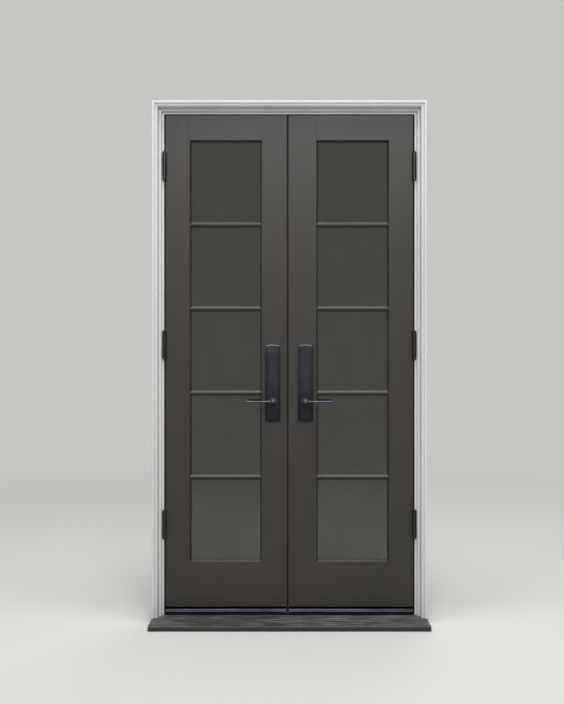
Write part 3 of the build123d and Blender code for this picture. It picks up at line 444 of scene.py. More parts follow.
@dataclass(frozen=True)
class OiledBronze:
    """Cast brass with a dark patina: a dim blue-grey metal whose tone drifts over a palm's width.
    Painted shade darkens it low on a fitting and on what faces down."""

    name: str
    colour: str
    shade: str
    painted_shade: str
    roughness: float
    painted_shade_from: float
    painted_shade_to: float
    painted_shade_share: float = 0.8
    looks_down: Span = (-0.7, -0.3)
    patch: float = 45 * MILLIMETRE
    patch_length: float = 2.0
    # Real rub marks are about 0.1 mm wide, too fine to show, so these are drawn coarser.
    rub_width: float = 0.7 * MILLIMETRE
    rub_length: float = 30.0
    rub_height: float = 0.01 * MILLIMETRE
    speckle_width: float = 2.2 * MILLIMETRE
    speckle_span: Span = (0.25, 0.75)
    sheen: float = 0.06
    soft_edge: float = 0.7 * MILLIMETRE

    def material(self) -> bpy.types.Material:
        """Builds the patina.

        Returns:
            The material.
        """
        surface = Surface.named(self.name)
        patina = surface.patches(self.patch, Grain.UPRIGHT.run(self.patch_length))
        rubbed = surface.patches(self.rub_width, Grain.UPRIGHT.run(self.rub_length))
        speckle = surface.patches(self.speckle_width)
        toned = surface.coat(
            linear(self.colour), self.shade, surface.add(RANGE, [patina, *WHOLE_SPAN])
        )
        # Painted shade: the metal is drawn darker low on a fitting and where it faces down.
        low = surface.add(RANGE, [surface.rise, self.painted_shade_from, self.painted_shade_to, self.painted_shade_share, 0.0])
        under = surface.add(RANGE, [surface.slope(), *self.looks_down, 1.0, 0.0])
        shade_mask = surface.add(MATH, [low, under], operation="MAXIMUM")
        gleam = (self.roughness - self.sheen, self.roughness + self.sheen)
        surface.set({
            "Base Color": surface.coat(toned, self.painted_shade, shade_mask),
            "Metallic": 1.0,
            "Roughness": surface.add(RANGE, [speckle, *self.speckle_span, *gleam]),
            "Normal": surface.relief(self.soft_edge, (rubbed, self.rub_height)),
        })
        return surface.material


@dataclass(frozen=True)
class DrawnMetal:
    """Metal that was extruded, rolled or ground along one way: fine lines run along it and
    stretch its highlights across them. A band along it can be drawn dark, as painted shade."""

    name: str
    colour: str
    shade: str
    roughness: float
    grain: Grain
    joint_shade: str = ""
    joint_shade_low: float = 0.0
    joint_shade_high: float = 0.0
    joint_shade_fade: float = 0.5 * MILLIMETRE
    # Real die lines are about 0.05 mm wide, too fine to show, so these are drawn coarser.
    line_width: float = 0.5 * MILLIMETRE
    line_height: float = 0.008 * MILLIMETRE
    line_length: float = 120.0
    bloom_width: float = 28 * MILLIMETRE
    bloom_length: float = 4.0
    smoother: float = 0.04
    duller: float = 0.05
    soft_edge: float = 0.4 * MILLIMETRE

    def material(self) -> bpy.types.Material:
        """Builds the metal.

        Returns:
            The material.
        """
        surface = Surface.named(self.name)
        lines = surface.patches(self.line_width, self.grain.run(self.line_length))
        bloom = surface.patches(self.bloom_width, Grain.ACROSS.run(self.bloom_length))
        colour = surface.coat(
            linear(self.colour), self.shade, surface.add(RANGE, [bloom, *CRISP_SPAN])
        )
        # Painted shade: a dark band along the joint, where the face stands back in shade.
        if self.joint_shade:
            shade_band = surface.band(surface.rise, self.joint_shade_low, self.joint_shade_high, self.joint_shade_fade)
            colour = surface.coat(colour, self.joint_shade, shade_band)
        gleam = (self.roughness - self.smoother, self.roughness + self.duller)
        surface.set({
            "Base Color": colour,
            "Metallic": 1.0,
            "Roughness": surface.add(RANGE, [bloom, *WHOLE_SPAN, *gleam]),
            "Normal": surface.relief(self.soft_edge, (lines, self.line_height)),
        })
        return surface.material


@dataclass(frozen=True)
class CoatedGlass:
    """Grey-green float glass with a low-emission coat: it mirrors what stands before it more
    than it shows what lies behind. A film of dried rain on the outer faces thickens downwards,
    and the sealed space between the panes stays clean."""

    name: str
    tint: str
    front: float
    back: float
    skin: float = 1.0 * MILLIMETRE
    skin_fade: float = 0.1 * MILLIMETRE
    mirroring: float = 1.75
    clear: float = 0.99
    filmed: float = 0.84
    film_low: float = 0.25
    film_high: float = 2.0
    film_least: float = 0.15
    run_width: float = 22 * MILLIMETRE
    run_length: float = 7.0
    run_span: Span = (0.4, 0.7)
    run_least: float = 0.35
    cloud_width: float = 120 * MILLIMETRE
    cloud_length: float = 1.5
    cloud_least: float = 0.2

    def material(self) -> bpy.types.Material:
        """Builds the glass.

        Returns:
            The material.
        """
        surface = Surface.named(self.name)
        runs = surface.patches(self.run_width, Grain.UPRIGHT.run(self.run_length), detail=4.0)
        clouds = surface.patches(self.cloud_width, Grain.UPRIGHT.run(self.cloud_length))
        sealed = surface.band(
            surface.depth, self.front + self.skin, self.back - self.skin, self.skin_fade
        )
        film = surface.all_of(
            surface.add(RANGE, [sealed, 0.0, 1.0, 1.0, 0.0]),
            surface.add(RANGE, [runs, *self.run_span, self.run_least, 1.0]),
            surface.add(RANGE, [clouds, *WHOLE_SPAN, self.cloud_least, 1.0]),
            surface.add(
                RANGE, [surface.rise, self.film_low, self.film_high, 1.0, self.film_least]
            ),
        )
        surface.set({
            "Base Color": linear(self.tint),
            "Roughness": 0.0,
            "IOR": self.mirroring,
            "Transmission Weight": surface.add(RANGE, [film, 0.0, 1.0, self.clear, self.filmed]),
        })
        return surface.material


@dataclass(frozen=True)
class SealRubber:
    """Foamed rubber in a smooth skin: nearly black, and dull."""

    name: str
    colour: str
    # Real pores are about 0.1 mm wide, too fine to show, so these are drawn coarser.
    pore: float = 0.8 * MILLIMETRE
    pore_depth: float = 0.02 * MILLIMETRE
    dull: Span = (0.6, 0.75)
    soft_edge: float = 0.5 * MILLIMETRE

    def material(self) -> bpy.types.Material:
        """Builds the rubber.

        Returns:
            The material.
        """
        surface = Surface.named(self.name)
        pores = surface.patches(self.pore)
        surface.set({
            "Base Color": linear(self.colour),
            "Roughness": surface.add(RANGE, [pores, *WHOLE_SPAN, *self.dull]),
            "IOR": 1.5,
            "Normal": surface.relief(self.soft_edge, (pores, self.pore_depth)),
        })
        return surface.material


class Finishes:
    """Every finish of the doors, by the record's material slots."""

    leaf = BrushedPaint(
        "leaf_enamel", "302C28", "2C2925", "6B665C", roughness=0.44, specular=0.40,
        dust_share=0.03, dust_low=0.05, dust_high=0.40, soft_edge=1.0 * MILLIMETRE,
    )
    casing = BrushedPaint(
        "casing_enamel", "CFD0D0", "C9CACA", "A6A39C", roughness=0.50, specular=0.24,
        dust_share=0.05, dust_low=0.02, dust_high=0.12,
    )
    board = BrushedPaint(
        "sill_enamel", "32302E", "2C2A28", "6F6B64", roughness=0.58, specular=0.24,
        dust_share=0.02, dust_low=0.0, dust_high=0.03,
    )
    bronze = OiledBronze(
        "oiled_bronze", "43464D", "383A40", "28292D", roughness=0.38, painted_shade_from=0.86, painted_shade_to=1.02
    )
    # The levers' bronze is a lighter copy, partly as wear from hands and partly as a painted
    # highlight.
    handled = OiledBronze(
        "handled_bronze", "5E5F65", "4E4F55", "2C2C30", roughness=0.48, painted_shade_from=0.2, painted_shade_to=0.3
    )
    hinge = DrawnMetal(
        "bronze_plated_steel", "444342", "393837", roughness=0.34, grain=Grain.UPRIGHT
    )
    steel = DrawnMetal(
        "zinc_plated_steel", "A9AAAB", "989A9E", roughness=0.30, grain=Grain.UPRIGHT
    )
    spacer = DrawnMetal(
        "mill_aluminium", "8D8E8E", "808182", roughness=0.34, grain=Grain.ACROSS
    )
    rubber = SealRubber("seal_rubber", "141414")
    # How far the painted shade at the top of each shoe reaches down.
    joint_shade_rise: float = 9.0 * MILLIMETRE

    def __init__(self) -> None:
        """Builds each material once."""
        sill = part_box("sill")
        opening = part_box("threshold")
        shoe_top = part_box("left_shoe")[1].z
        weathered = WeatheredPaint(
            self.board, "A9A9AC", "6A6763", top=sill[1].z, front=sill[0].y
        )
        # The jambs get painted shade in their rabbets.
        slit_shaded = SlitShadedPaint(
            self.casing, "1B1A18", left=opening[0].x, right=opening[1].x,
            leaf_top=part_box("left_top_rail")[1].z,
        )
        glass = CoatedGlass(
            "coated_glass", "636A60", front=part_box("left_outer_pane")[0].y,
            back=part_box("left_inner_pane")[1].y,
        )
        # The shoes' extrusion has painted shade in a band under each leaf's bottom edge.
        extrusion = DrawnMetal(
            "bronze_anodised_aluminium", "32343A", "24262B", roughness=0.38,
            grain=Grain.ACROSS, joint_shade="060608", joint_shade_low=shoe_top - self.joint_shade_rise,
            joint_shade_high=shoe_top,
        )
        self.painted = {
            "leaf_paint": {grain: self.leaf.material(grain) for grain in Grain},
            "frame_paint": {grain: self.casing.material(grain) for grain in Grain},
            "sill_paint": dict.fromkeys(Grain, weathered.material(Grain.ACROSS)),
        }
        self.jamb = {grain: slit_shaded.material(grain) for grain in Grain}
        self.lever = self.handled.material()
        self.others = {
            "dark_bronze": self.bronze.material(),
            "bronze_extrusion": extrusion.material(),
            "hinge_bronze": self.hinge.material(),
            "steel": self.steel.material(),
            "spacer": self.spacer.material(),
            "glass": glass.material(),
            "seal": self.rubber.material(),
        }

    def of(self, slot: str, grain: Grain = Grain.UPRIGHT) -> bpy.types.Material:
        """The material of a slot, for a member whose grain runs one way."""
        return self.painted[slot][grain] if slot in self.painted else self.others[slot]


class Carcass:
    """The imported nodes: each keeps its shape and gets its finish."""

    across: tuple[str, ...] = ("rail", "muntins", "head_jamb", "head_moulding")
    handled: tuple[str, ...] = ("_lever", "_thumbturn")

    def dress(self, finishes: Finishes) -> None:
        """Gives every node the material of its slot.

        Args:
            finishes: the materials.
        """
        slots = {part["node"]: part["material_slot"] for part in frame["record"]["subparts"]}
        for name, node in frame["nodes"].items():
            grain = Grain.ACROSS if any(word in name for word in self.across) else Grain.UPRIGHT
            material = finishes.of(slots[name], grain)
            if name.endswith("_jamb"):
                material = finishes.jamb[grain]
            elif name.endswith(self.handled):
                material = finishes.lever
            if not node.material_slots:
                node.data.materials.append(material)
            for slot in node.material_slots:
                slot.material = material
            log.info("node %s: %s", name, material.name)


def linked(shape: bmesh.types.BMesh, name: str) -> bpy.types.Object:
    """Turns a bmesh into an object in the scene, with its normals outwards.

    Args:
        shape: the bmesh, which is freed.
        name: the object's name.

    Returns:
        The object.
    """
    bmesh.ops.recalc_face_normals(shape, faces=shape.faces)
    mesh = bpy.data.meshes.new(name)
    shape.to_mesh(mesh)
    shape.free()
    made = bpy.data.objects.new(name, mesh)
    bpy.context.scene.collection.objects.link(made)
    return made


def mesh_of(source: bpy.types.Object) -> bpy.types.Mesh:
    """Gives the plain mesh of an object with live modifiers, and removes the object.

    Args:
        source: the object, in the scene.

    Returns:
        The mesh.
    """
    bpy.context.view_layer.update()
    graph = bpy.context.evaluated_depsgraph_get()
    mesh = bpy.data.meshes.new_from_object(source.evaluated_get(graph))
    name = source.name
    bpy.data.objects.remove(source)
    if not mesh.polygons:
        raise RuntimeError(f"The modifiers left nothing of {name}.")
    return mesh


@dataclass
class ScrewHead:
    """A screw's head of unit diameter, its seat at the origin and its recess upwards."""

    outline: Outline
    radius: float = 0.5
    segments: int = 24
    rings: int = 4
    skirt: float = 0.06
    oval_side: float = 0.01
    oval_crown: float = 0.13
    pan_side: float = 0.12
    pan_crown: float = 0.17
    recess_reach: float = 0.29
    recess_width: float = 0.12
    recess_taper: float = 0.55
    recess_floor: float = 0.03
    recess_top: float = 0.5

    def profile(self) -> list[Span]:
        """Radius and height of the head: a straight side, and over it a quarter of an
        ellipse, flat at its top.

        Returns:
            The points, from the rim to the crown.
        """
        pan = self.outline is Outline.PAN
        side = self.pan_side if pan else self.oval_side
        crown = self.pan_crown if pan else self.oval_crown
        turns = [math.pi / 2 * step / self.rings for step in range(self.rings)]
        return [
            (self.radius, -self.skirt),
            *((self.radius * math.cos(turn), side + crown * math.sin(turn)) for turn in turns),
        ]

    def build(self) -> bpy.types.Object:
        """Builds the head with its cross recess.

        Returns:
            The head, outside the scene, ready to be repeated.
        """
        head = self._turned()
        cutter = self._cross()
        cut = head.modifiers.new("recess", "BOOLEAN")
        cut.object = cutter
        cut.operation = "DIFFERENCE"
        # The bars of the cross overlap, which the cut has to allow for.
        cut.use_self = True
        mesh = mesh_of(head)
        bpy.data.objects.remove(cutter)
        return bpy.data.objects.new(f"{self.outline.value}_head", mesh)

    def _turned(self) -> bpy.types.Object:
        """Turns the plain head from its profile and closes it.

        Returns:
            The plain head.
        """
        shape = bmesh.new()
        turns = [2 * math.pi * step / self.segments for step in range(self.segments)]
        rings = [
            [
                shape.verts.new((radius * math.cos(turn), radius * math.sin(turn), height))
                for turn in turns
            ]
            for radius, height in self.profile()
        ]
        for low, high in zip(rings, rings[1:]):
            for step in range(self.segments):
                after = (step + 1) % self.segments
                shape.faces.new((low[step], low[after], high[after], high[step]))
        shape.faces.new(list(reversed(rings[0])))
        shape.faces.new(rings[-1])
        return linked(shape, "turned_head")

    def _cross(self) -> bpy.types.Object:
        """Builds the tapered cross that cuts the recess.

        Returns:
            The cross.
        """
        shape = bmesh.new()
        for turn in (0, math.pi / 2):
            made = bmesh.ops.create_cube(shape, size=1.0)["verts"]
            for vert in made:
                lower = vert.co.z < 0
                narrow = self.recess_taper if lower else 1.0
                vert.co.x *= 2 * self.recess_reach * narrow
                vert.co.y *= self.recess_width * narrow
                vert.co.z = self.recess_floor if lower else self.recess_top
            bmesh.ops.rotate(shape, verts=made, matrix=Matrix.Rotation(turn, 3, "Z"))
        return linked(shape, "recess_cross")


class RepeatTree(Bench):
    """Geometry Nodes that set copies of one shape on points and join them into one mesh."""

    def __init__(self, name: str, inputs: dict[str, str]) -> None:
        """Starts the tree with its named inputs.

        Args:
            name: the tree's name.
            inputs: the kind of each input, by its name, apart from the points and the finish.
        """
        self.tree = bpy.data.node_groups.new(name, "GeometryNodeTree")
        sockets = self.tree.interface
        kinds = {"Points": "Geometry", **inputs, "Finish": "Material"}
        self.inputs = {
            label: sockets.new_socket(
                label, in_out="INPUT", socket_type=f"NodeSocket{kind}"
            ).identifier
            for label, kind in kinds.items()
        }
        sockets.new_socket("Copies", in_out="OUTPUT", socket_type="NodeSocketGeometry")
        self.given = add_node(self.tree, "NodeGroupInput").outputs

    def end(self, points: Socket, shape: Socket, placing: dict[str, Socket]) -> None:
        """Sets the copies, joins them and gives them their finish.

        Args:
            points: where the copies stand.
            shape: what is repeated.
            placing: the copies' rotation and scale.
        """
        placed = self.add(
            "GeometryNodeInstanceOnPoints", {"Points": points, "Instance": shape, **placing}
        )
        solid = self.add("GeometryNodeRealizeInstances", {"Geometry": placed})
        painted = self.add(
            "GeometryNodeSetMaterial", {"Geometry": solid, "Material": self.given["Finish"]}
        )
        add_node(self.tree, "NodeGroupOutput", {"Copies": painted})

    def piece(
        self, name: str, points: bpy.types.Mesh, values: dict[str, object], body: str, slot: str
    ) -> bpy.types.Object:
        """Makes one piece of copies, as a plain mesh.

        Args:
            name: the piece's name.
            points: the points that the tree is given.
            values: the tree's other inputs, by their names.
            body: the body that the piece rides on.
            slot: the record's slot that its finish comes from; it is not used.

        Returns:
            The finished piece.
        """
        source = bpy.data.objects.new(f"{name}_source", points)
        bpy.context.scene.collection.objects.link(source)
        modifier = source.modifiers.new("copies", "NODES")
        modifier.node_group = self.tree
        for label, value in values.items():
            modifier[self.inputs[label]] = value
        made = bpy.data.objects.new(name, mesh_of(source))
        bpy.context.scene.collection.objects.link(made)
        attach(made, body)
        return made


class ScrewTree(RepeatTree):
    """Sets one head on each place, turned to its face and spun by chance."""

    def __init__(self) -> None:
        """Builds the tree."""
        super().__init__(
            "screws_on_places", {"Head": "Object", "Diameter": "Float", "Seed": "Int"}
        )
        facing = self.add(
            "GeometryNodeInputNamedAttribute", {"Name": "facing"}, "Attribute",
            data_type="FLOAT_VECTOR",
        )
        upright = self.add("FunctionNodeAlignRotationToVector", {"Vector": facing}, axis="Z")
        # The random value's sockets share their names between its kinds, so they go by number.
        spin = self.add(
            "FunctionNodeRandomValue", {2: 0.0, 3: math.pi / 2, "Seed": self.given["Seed"]}, 1
        )
        turn = self.add(
            "FunctionNodeAxisAngleToRotation", {"Axis": (0.0, 0.0, 1.0), "Angle": spin}
        )
        rotation = self.add(
            "FunctionNodeRotateRotation", {"Rotation": upright, "Rotate By": turn},
            rotation_space="LOCAL",
        )
        head = self.add("GeometryNodeObjectInfo", {"Object": self.given["Head"]}, "Geometry")
        size = self.add("ShaderNodeCombineXYZ", [self.given["Diameter"]] * 3)
        self.end(self.given["Points"], head, {"Rotation": rotation, "Scale": size})


@dataclass
class ScrewRow:
    """Screws of one kind on one body: where they sit and which way they face."""

    name: str
    body: str
    slot: str
    outline: Outline
    diameter: float
    places: list[tuple[Vector, Vector]]
    seed: int

    def build(
        self, tree: ScrewTree, heads: dict[Outline, bpy.types.Object], finish: bpy.types.Material
    ) -> bpy.types.Object:
        """Makes the row as one plain mesh that rides on its body.

        Args:
            tree: the Geometry Nodes that repeat the head.
            heads: one head for each outline.
            finish: the screws' material.

        Returns:
            The finished piece.
        """
        points = bpy.data.meshes.new(f"{self.name}_places")
        points.from_pydata([place for place, facing in self.places], [], [])
        facings = points.attributes.new("facing", "FLOAT_VECTOR", "POINT")
        for item, (place, facing) in zip(facings.data, self.places):
            item.vector = facing
        values = {
            "Head": heads[self.outline],
            "Diameter": self.diameter,
            "Seed": self.seed,
            "Finish": finish,
        }
        made = tree.piece(self.name, points, values, self.body, self.slot)
        log.info("piece %s: %d screws on %s", self.name, len(self.places), self.body)
        return made


@dataclass(frozen=True)
class Side:
    """One leaf of the pair: where its edges are, and which way it points to the other."""

    name: str
    way: int
    bevel: float = math.radians(3.0)
    ease: float = 2 * MILLIMETRE

    @property
    def leaf(self) -> str:
        """The body of the leaf."""
        return f"{self.name}_leaf"

    def edge(self, depth: float) -> float:
        """Finds the bevelled meeting edge.

        Args:
            depth: a place along Y.

        Returns:
            The edge's place along X at that depth.
        """
        low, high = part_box(f"{self.name}_meeting_stile")
        corner = high.x if self.way > 0 else low.x
        return corner - self.way * (depth - self.ease) * math.tan(self.bevel)

    def outwards(self) -> Vector:
        """The way that the meeting edge faces."""
        return Vector((self.way * math.cos(self.bevel), math.sin(self.bevel), 0))


SIDES = (Side("left", 1), Side("right", -1))


@dataclass
class HingeScrews:
    """Countersunk screws in the six hinges, four to a leaf, in a zigzag."""

    hinge_height: float = 114.3 * MILLIMETRE
    rises: tuple[float, ...] = (-43 * MILLIMETRE, -15 * MILLIMETRE, 15 * MILLIMETRE, 43 * MILLIMETRE)
    # How far behind the pins the two lines of the zigzag are.
    lines: Span = (20 * MILLIMETRE, 32 * MILLIMETRE)
    diameter: float = 9.0 * MILLIMETRE

    def hinges(self) -> list[ScrewRow]:
        """Places the screws of all hinges.

        Returns:
            One row of screws on the frame and one on the leaf, for each side.
        """
        made = []
        opening_low, opening_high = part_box("threshold")
        for seed, side in enumerate(SIDES):
            low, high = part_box(f"{side.name}_frame_hinges")
            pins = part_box(f"{side.name}_hinge_pins")
            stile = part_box(f"{side.name}_hinge_stile")
            axis = (pins[0].y + pins[1].y) / 2
            top = high.z - self.hinge_height / 2
            bottom = low.z + self.hinge_height / 2
            jamb_face = opening_low.x if side.way > 0 else opening_high.x
            leaf_face = stile[0].x if side.way > 0 else stile[1].x
            for body, word, face, facing in (
                ("frame", "jamb", jamb_face, side.way),
                (side.leaf, "leaf", leaf_face, -side.way),
            ):
                places = [
                    (
                        Vector((face, axis + self.lines[step % 2], middle + rise)),
                        Vector((facing, 0, 0)),
                    )
                    for middle in (top, (top + bottom) / 2, bottom)
                    for step, rise in enumerate(self.rises)
                ]
                name = f"{side.name}_{word}_hinge_screws"
                made.append(
                    ScrewRow(name, body, "hinge_bronze", Outline.OVAL, self.diameter, places, seed)
                )
        return made


@dataclass
class FittingScrews:
    """Screws of the threshold, the edge plates, the inner plates and the keepers."""

    small: float = 6.0 * MILLIMETRE
    large: float = 7.5 * MILLIMETRE
    threshold_across: Span = (-500 * MILLIMETRE, 490 * MILLIMETRE)
    threshold_rise: float = 6.0 * MILLIMETRE
    long_plate_rises: tuple[float, ...] = (0.12, 0.45, 0.72, 1.10, 1.40, 1.70, 1.98)
    plate_margin: float = 11 * MILLIMETRE
    inner_margin: float = 15 * MILLIMETRE
    keeper_reach: float = 16 * MILLIMETRE
    keeper_thickness: float = 2 * MILLIMETRE

    def threshold(self) -> ScrewRow:
        """Places two pan heads on the threshold's front, one near each end.

        Returns:
            The row.
        """
        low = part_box("threshold")[0]
        places = [
            (Vector((across, low.y, low.z + self.threshold_rise)), Vector((0, -1, 0)))
            for across in self.threshold_across
        ]
        return ScrewRow(
            "threshold_screws", "frame", "bronze_extrusion", Outline.PAN, self.small, places,
            seed=3,
        )

    def edge_plates(self) -> list[ScrewRow]:
        """Places countersunk screws in the edge plates of both leaves.

        Returns:
            One row for each side.
        """
        made = []
        low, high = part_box("right_lock_case")
        rises = {
            "left": self.long_plate_rises,
            "right": (low.z + self.plate_margin, high.z - self.plate_margin),
        }
        for side in SIDES:
            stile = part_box(f"{side.name}_meeting_stile")
            depth = (stile[0].y + stile[1].y) / 2
            places = [
                (Vector((side.edge(depth), depth, rise)), side.outwards())
                for rise in rises[side.name]
            ]
            name = f"{side.name}_edge_plate_screws"
            made.append(
                ScrewRow(name, side.leaf, "steel", Outline.OVAL, self.large, places, seed=5)
            )
        return made

    def inner_plates(self) -> list[ScrewRow]:
        """Places two screws through each inner plate, one near each end.

        Returns:
            One row for each side.
        """
        made = []
        for side in SIDES:
            low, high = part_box(f"{side.name}_inner_plate")
            places = [
                (Vector(((low.x + high.x) / 2, high.y, rise)), Vector((0, 1, 0)))
                for rise in (low.z + self.inner_margin, high.z - self.inner_margin)
            ]
            name = f"{side.name}_inner_plate_screws"
            made.append(
                ScrewRow(name, side.leaf, "dark_bronze", Outline.OVAL, self.large, places, seed=7)
            )
        return made

    def keepers(self) -> ScrewRow:
        """Places two screws in each keeper, in the head and in the threshold.

        Returns:
            The row.
        """
        low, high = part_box("bolt_keepers")
        middle = (low + high) / 2
        places = [
            (Vector((middle.x + reach, middle.y, rise)), Vector((0, 0, facing)))
            for rise, facing in (
                (high.z - self.keeper_thickness, -1),
                (low.z + self.keeper_thickness, 1),
            )
            for reach in (-self.keeper_reach, self.keeper_reach)
        ]
        return ScrewRow(
            "keeper_screws", "frame", "steel", Outline.OVAL, self.small, places, seed=9
        )


class PileTree(RepeatTree):
    """Sets tufts of pile along an upright line, each leaning a little by chance."""

    def __init__(self) -> None:
        """Builds the tree. It makes its own points, along the line."""
        super().__init__(
            "pile_along_line",
            {
                "Tufts": "Int", "Start": "Vector", "Pitch": "Float", "Tuft size": "Vector",
                "Lean": "Float", "Seed": "Int",
            },
        )
        given = self.given
        step = self.add("ShaderNodeCombineXYZ", {"Z": given["Pitch"]})
        line = self.add(
            "GeometryNodeMeshLine",
            {"Count": given["Tufts"], "Start Location": given["Start"], "Offset": step},
            mode="OFFSET",
        )
        tuft = self.add("GeometryNodeMeshCube", {"Size": given["Tuft size"]}, "Mesh")
        back = self.add(MATH, [given["Lean"], -1.0], operation="MULTIPLY")
        # The random value's sockets share their names between its kinds, so they go by number.
        lean = self.add(
            "FunctionNodeRandomValue", {2: back, 3: given["Lean"], "Seed": given["Seed"]}, 1
        )
        turn = self.add("ShaderNodeCombineXYZ", {"X": lean})
        self.end(line, tuft, {"Rotation": turn})


@dataclass
class MeetingSeals:
    """What closes the slit between the leaves: a rubber lip near the active leaf's face, a
    strip of pile at the back of the passive leaf's edge, and a rubber pad at the meeting end of
    each shoe, where both run down to the threshold."""

    end_gap: float = 1.5 * MILLIMETRE
    lip_depth: float = 8.0 * MILLIMETRE
    lip_root: float = 1.6 * MILLIMETRE
    lip_tip: float = 0.5 * MILLIMETRE
    lip_reach: float = 3.2 * MILLIMETRE
    lip_sunk: float = 0.4 * MILLIMETRE
    pile_depth: float = 41.4 * MILLIMETRE
    pile_thickness: float = 3.0 * MILLIMETRE
    pile_reach: float = 3.5 * MILLIMETRE
    pile_sunk: float = 0.3 * MILLIMETRE
    pitch: float = 2.0 * MILLIMETRE
    tuft_share: float = 0.98
    lean: float = 0.06
    pile_seed: int = 11
    pad_front: float = 4.0 * MILLIMETRE
    pad_back: float = 43.0 * MILLIMETRE
    pad_gap: float = 0.2 * MILLIMETRE

    def prism(
        self, name: str, body: str, section: list[Span], low: float, high: float,
        finish: bpy.types.Material,
    ) -> bpy.types.Object:
        """Makes an upright piece of one section.

        Args:
            name: the piece's name.
            body: the body that it rides on.
            section: its corners, across and in depth.
            low: its lower end.
            high: its upper end.
            finish: its material.

        Returns:
            The piece.
        """
        shape = bmesh.new()
        ends = [
            [shape.verts.new((across, depth, rise)) for across, depth in section]
            for rise in (low, high)
        ]
        for count in range(len(section)):
            after = (count + 1) % len(section)
            shape.faces.new((ends[0][count], ends[0][after], ends[1][after], ends[1][count]))
        for end in ends:
            shape.faces.new(end)
        made = linked(shape, name)
        made.data.materials.append(finish)
        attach(made, body)
        log.info("piece %s: %.1f mm high", name, (high - low) / MILLIMETRE)
        return made

    def pad(self, side: Side, finish: bpy.types.Material) -> bpy.types.Object:
        """Makes the pad between the end of a shoe and the plane of the meeting edge.

        Args:
            side: the leaf that the shoe is on.
            finish: the rubber.

        Returns:
            The piece.
        """
        low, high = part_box(f"{side.name}_shoe")
        end = high.x if side.way > 0 else low.x
        section = [
            (end, self.pad_front),
            (side.edge(self.pad_front), self.pad_front),
            (side.edge(self.pad_back), self.pad_back),
            (end, self.pad_back),
        ]
        name = f"{side.name}_shoe_pad"
        return self.prism(
            name, side.leaf, section, low.z + self.pad_gap, high.z - self.pad_gap, finish
        )

    def lip(self, finish: bpy.types.Material) -> bpy.types.Object:
        """Makes the lip, a slim fin along the active leaf's whole edge.

        Args:
            finish: the rubber.

        Returns:
            The piece.
        """
        side = SIDES[1]
        low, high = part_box("right_shoe")[0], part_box("right_meeting_stile")[1]
        root = side.edge(self.lip_depth) - side.way * self.lip_sunk
        tip = side.edge(self.lip_depth) + side.way * self.lip_reach
        section = [
            (root, self.lip_depth - self.lip_root / 2),
            (tip, self.lip_depth - self.lip_tip / 2),
            (tip, self.lip_depth + self.lip_tip / 2),
            (root, self.lip_depth + self.lip_root / 2),
        ]
        return self.prism(
            "right_meeting_lip", side.leaf, section,
            low.z + self.end_gap, high.z - self.end_gap, finish,
        )

    def pile(self, tree: PileTree, finish: bpy.types.Material) -> bpy.types.Object:
        """Makes the pile, of tufts side by side up the passive leaf's whole edge.

        Args:
            tree: the Geometry Nodes that set the tufts.
            finish: the pile's material.

        Returns:
            The piece.
        """
        side = SIDES[0]
        low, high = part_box("left_shoe")[0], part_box("left_meeting_stile")[1]
        width = self.pile_reach + self.pile_sunk
        across = side.edge(self.pile_depth) + side.way * (self.pile_reach - self.pile_sunk) / 2
        rise = high.z - low.z - 2 * self.end_gap
        values = {
            "Tufts": int(rise / self.pitch),
            "Start": (across, self.pile_depth, low.z + self.end_gap + self.pitch / 2),
            "Pitch": self.pitch,
            "Tuft size": (width, self.pile_thickness, self.pitch * self.tuft_share),
            "Lean": self.lean,
            "Seed": self.pile_seed,
            "Finish": finish,
        }
        name = "left_meeting_pile"
        made = tree.piece(name, bpy.data.meshes.new(f"{name}_start"), values, side.leaf, "seal")
        log.info("piece %s: %d tufts", name, values["Tufts"])
        return made


@dataclass(frozen=True)
class Lamp:
    """A rectangular lamp: where it hangs, what it points at, its width and height, and its
    power in watts."""

    name: str
    place: Point
    target: Point
    size: Span
    power: float

    def hang(self) -> None:
        """Puts the lamp in the scene."""
        light = bpy.data.lights.new(self.name, "AREA")
        light.shape = "RECTANGLE"
        light.size, light.size_y = self.size
        light.energy = self.power
        lamp = bpy.data.objects.new(self.name, light)
        lamp.location = self.place
        aim = Vector(self.target) - Vector(self.place)
        lamp.rotation_euler = aim.to_track_quat("-Z", "Y").to_euler()
        lamp.visible_transmission = False
        bpy.context.scene.collection.objects.link(lamp)


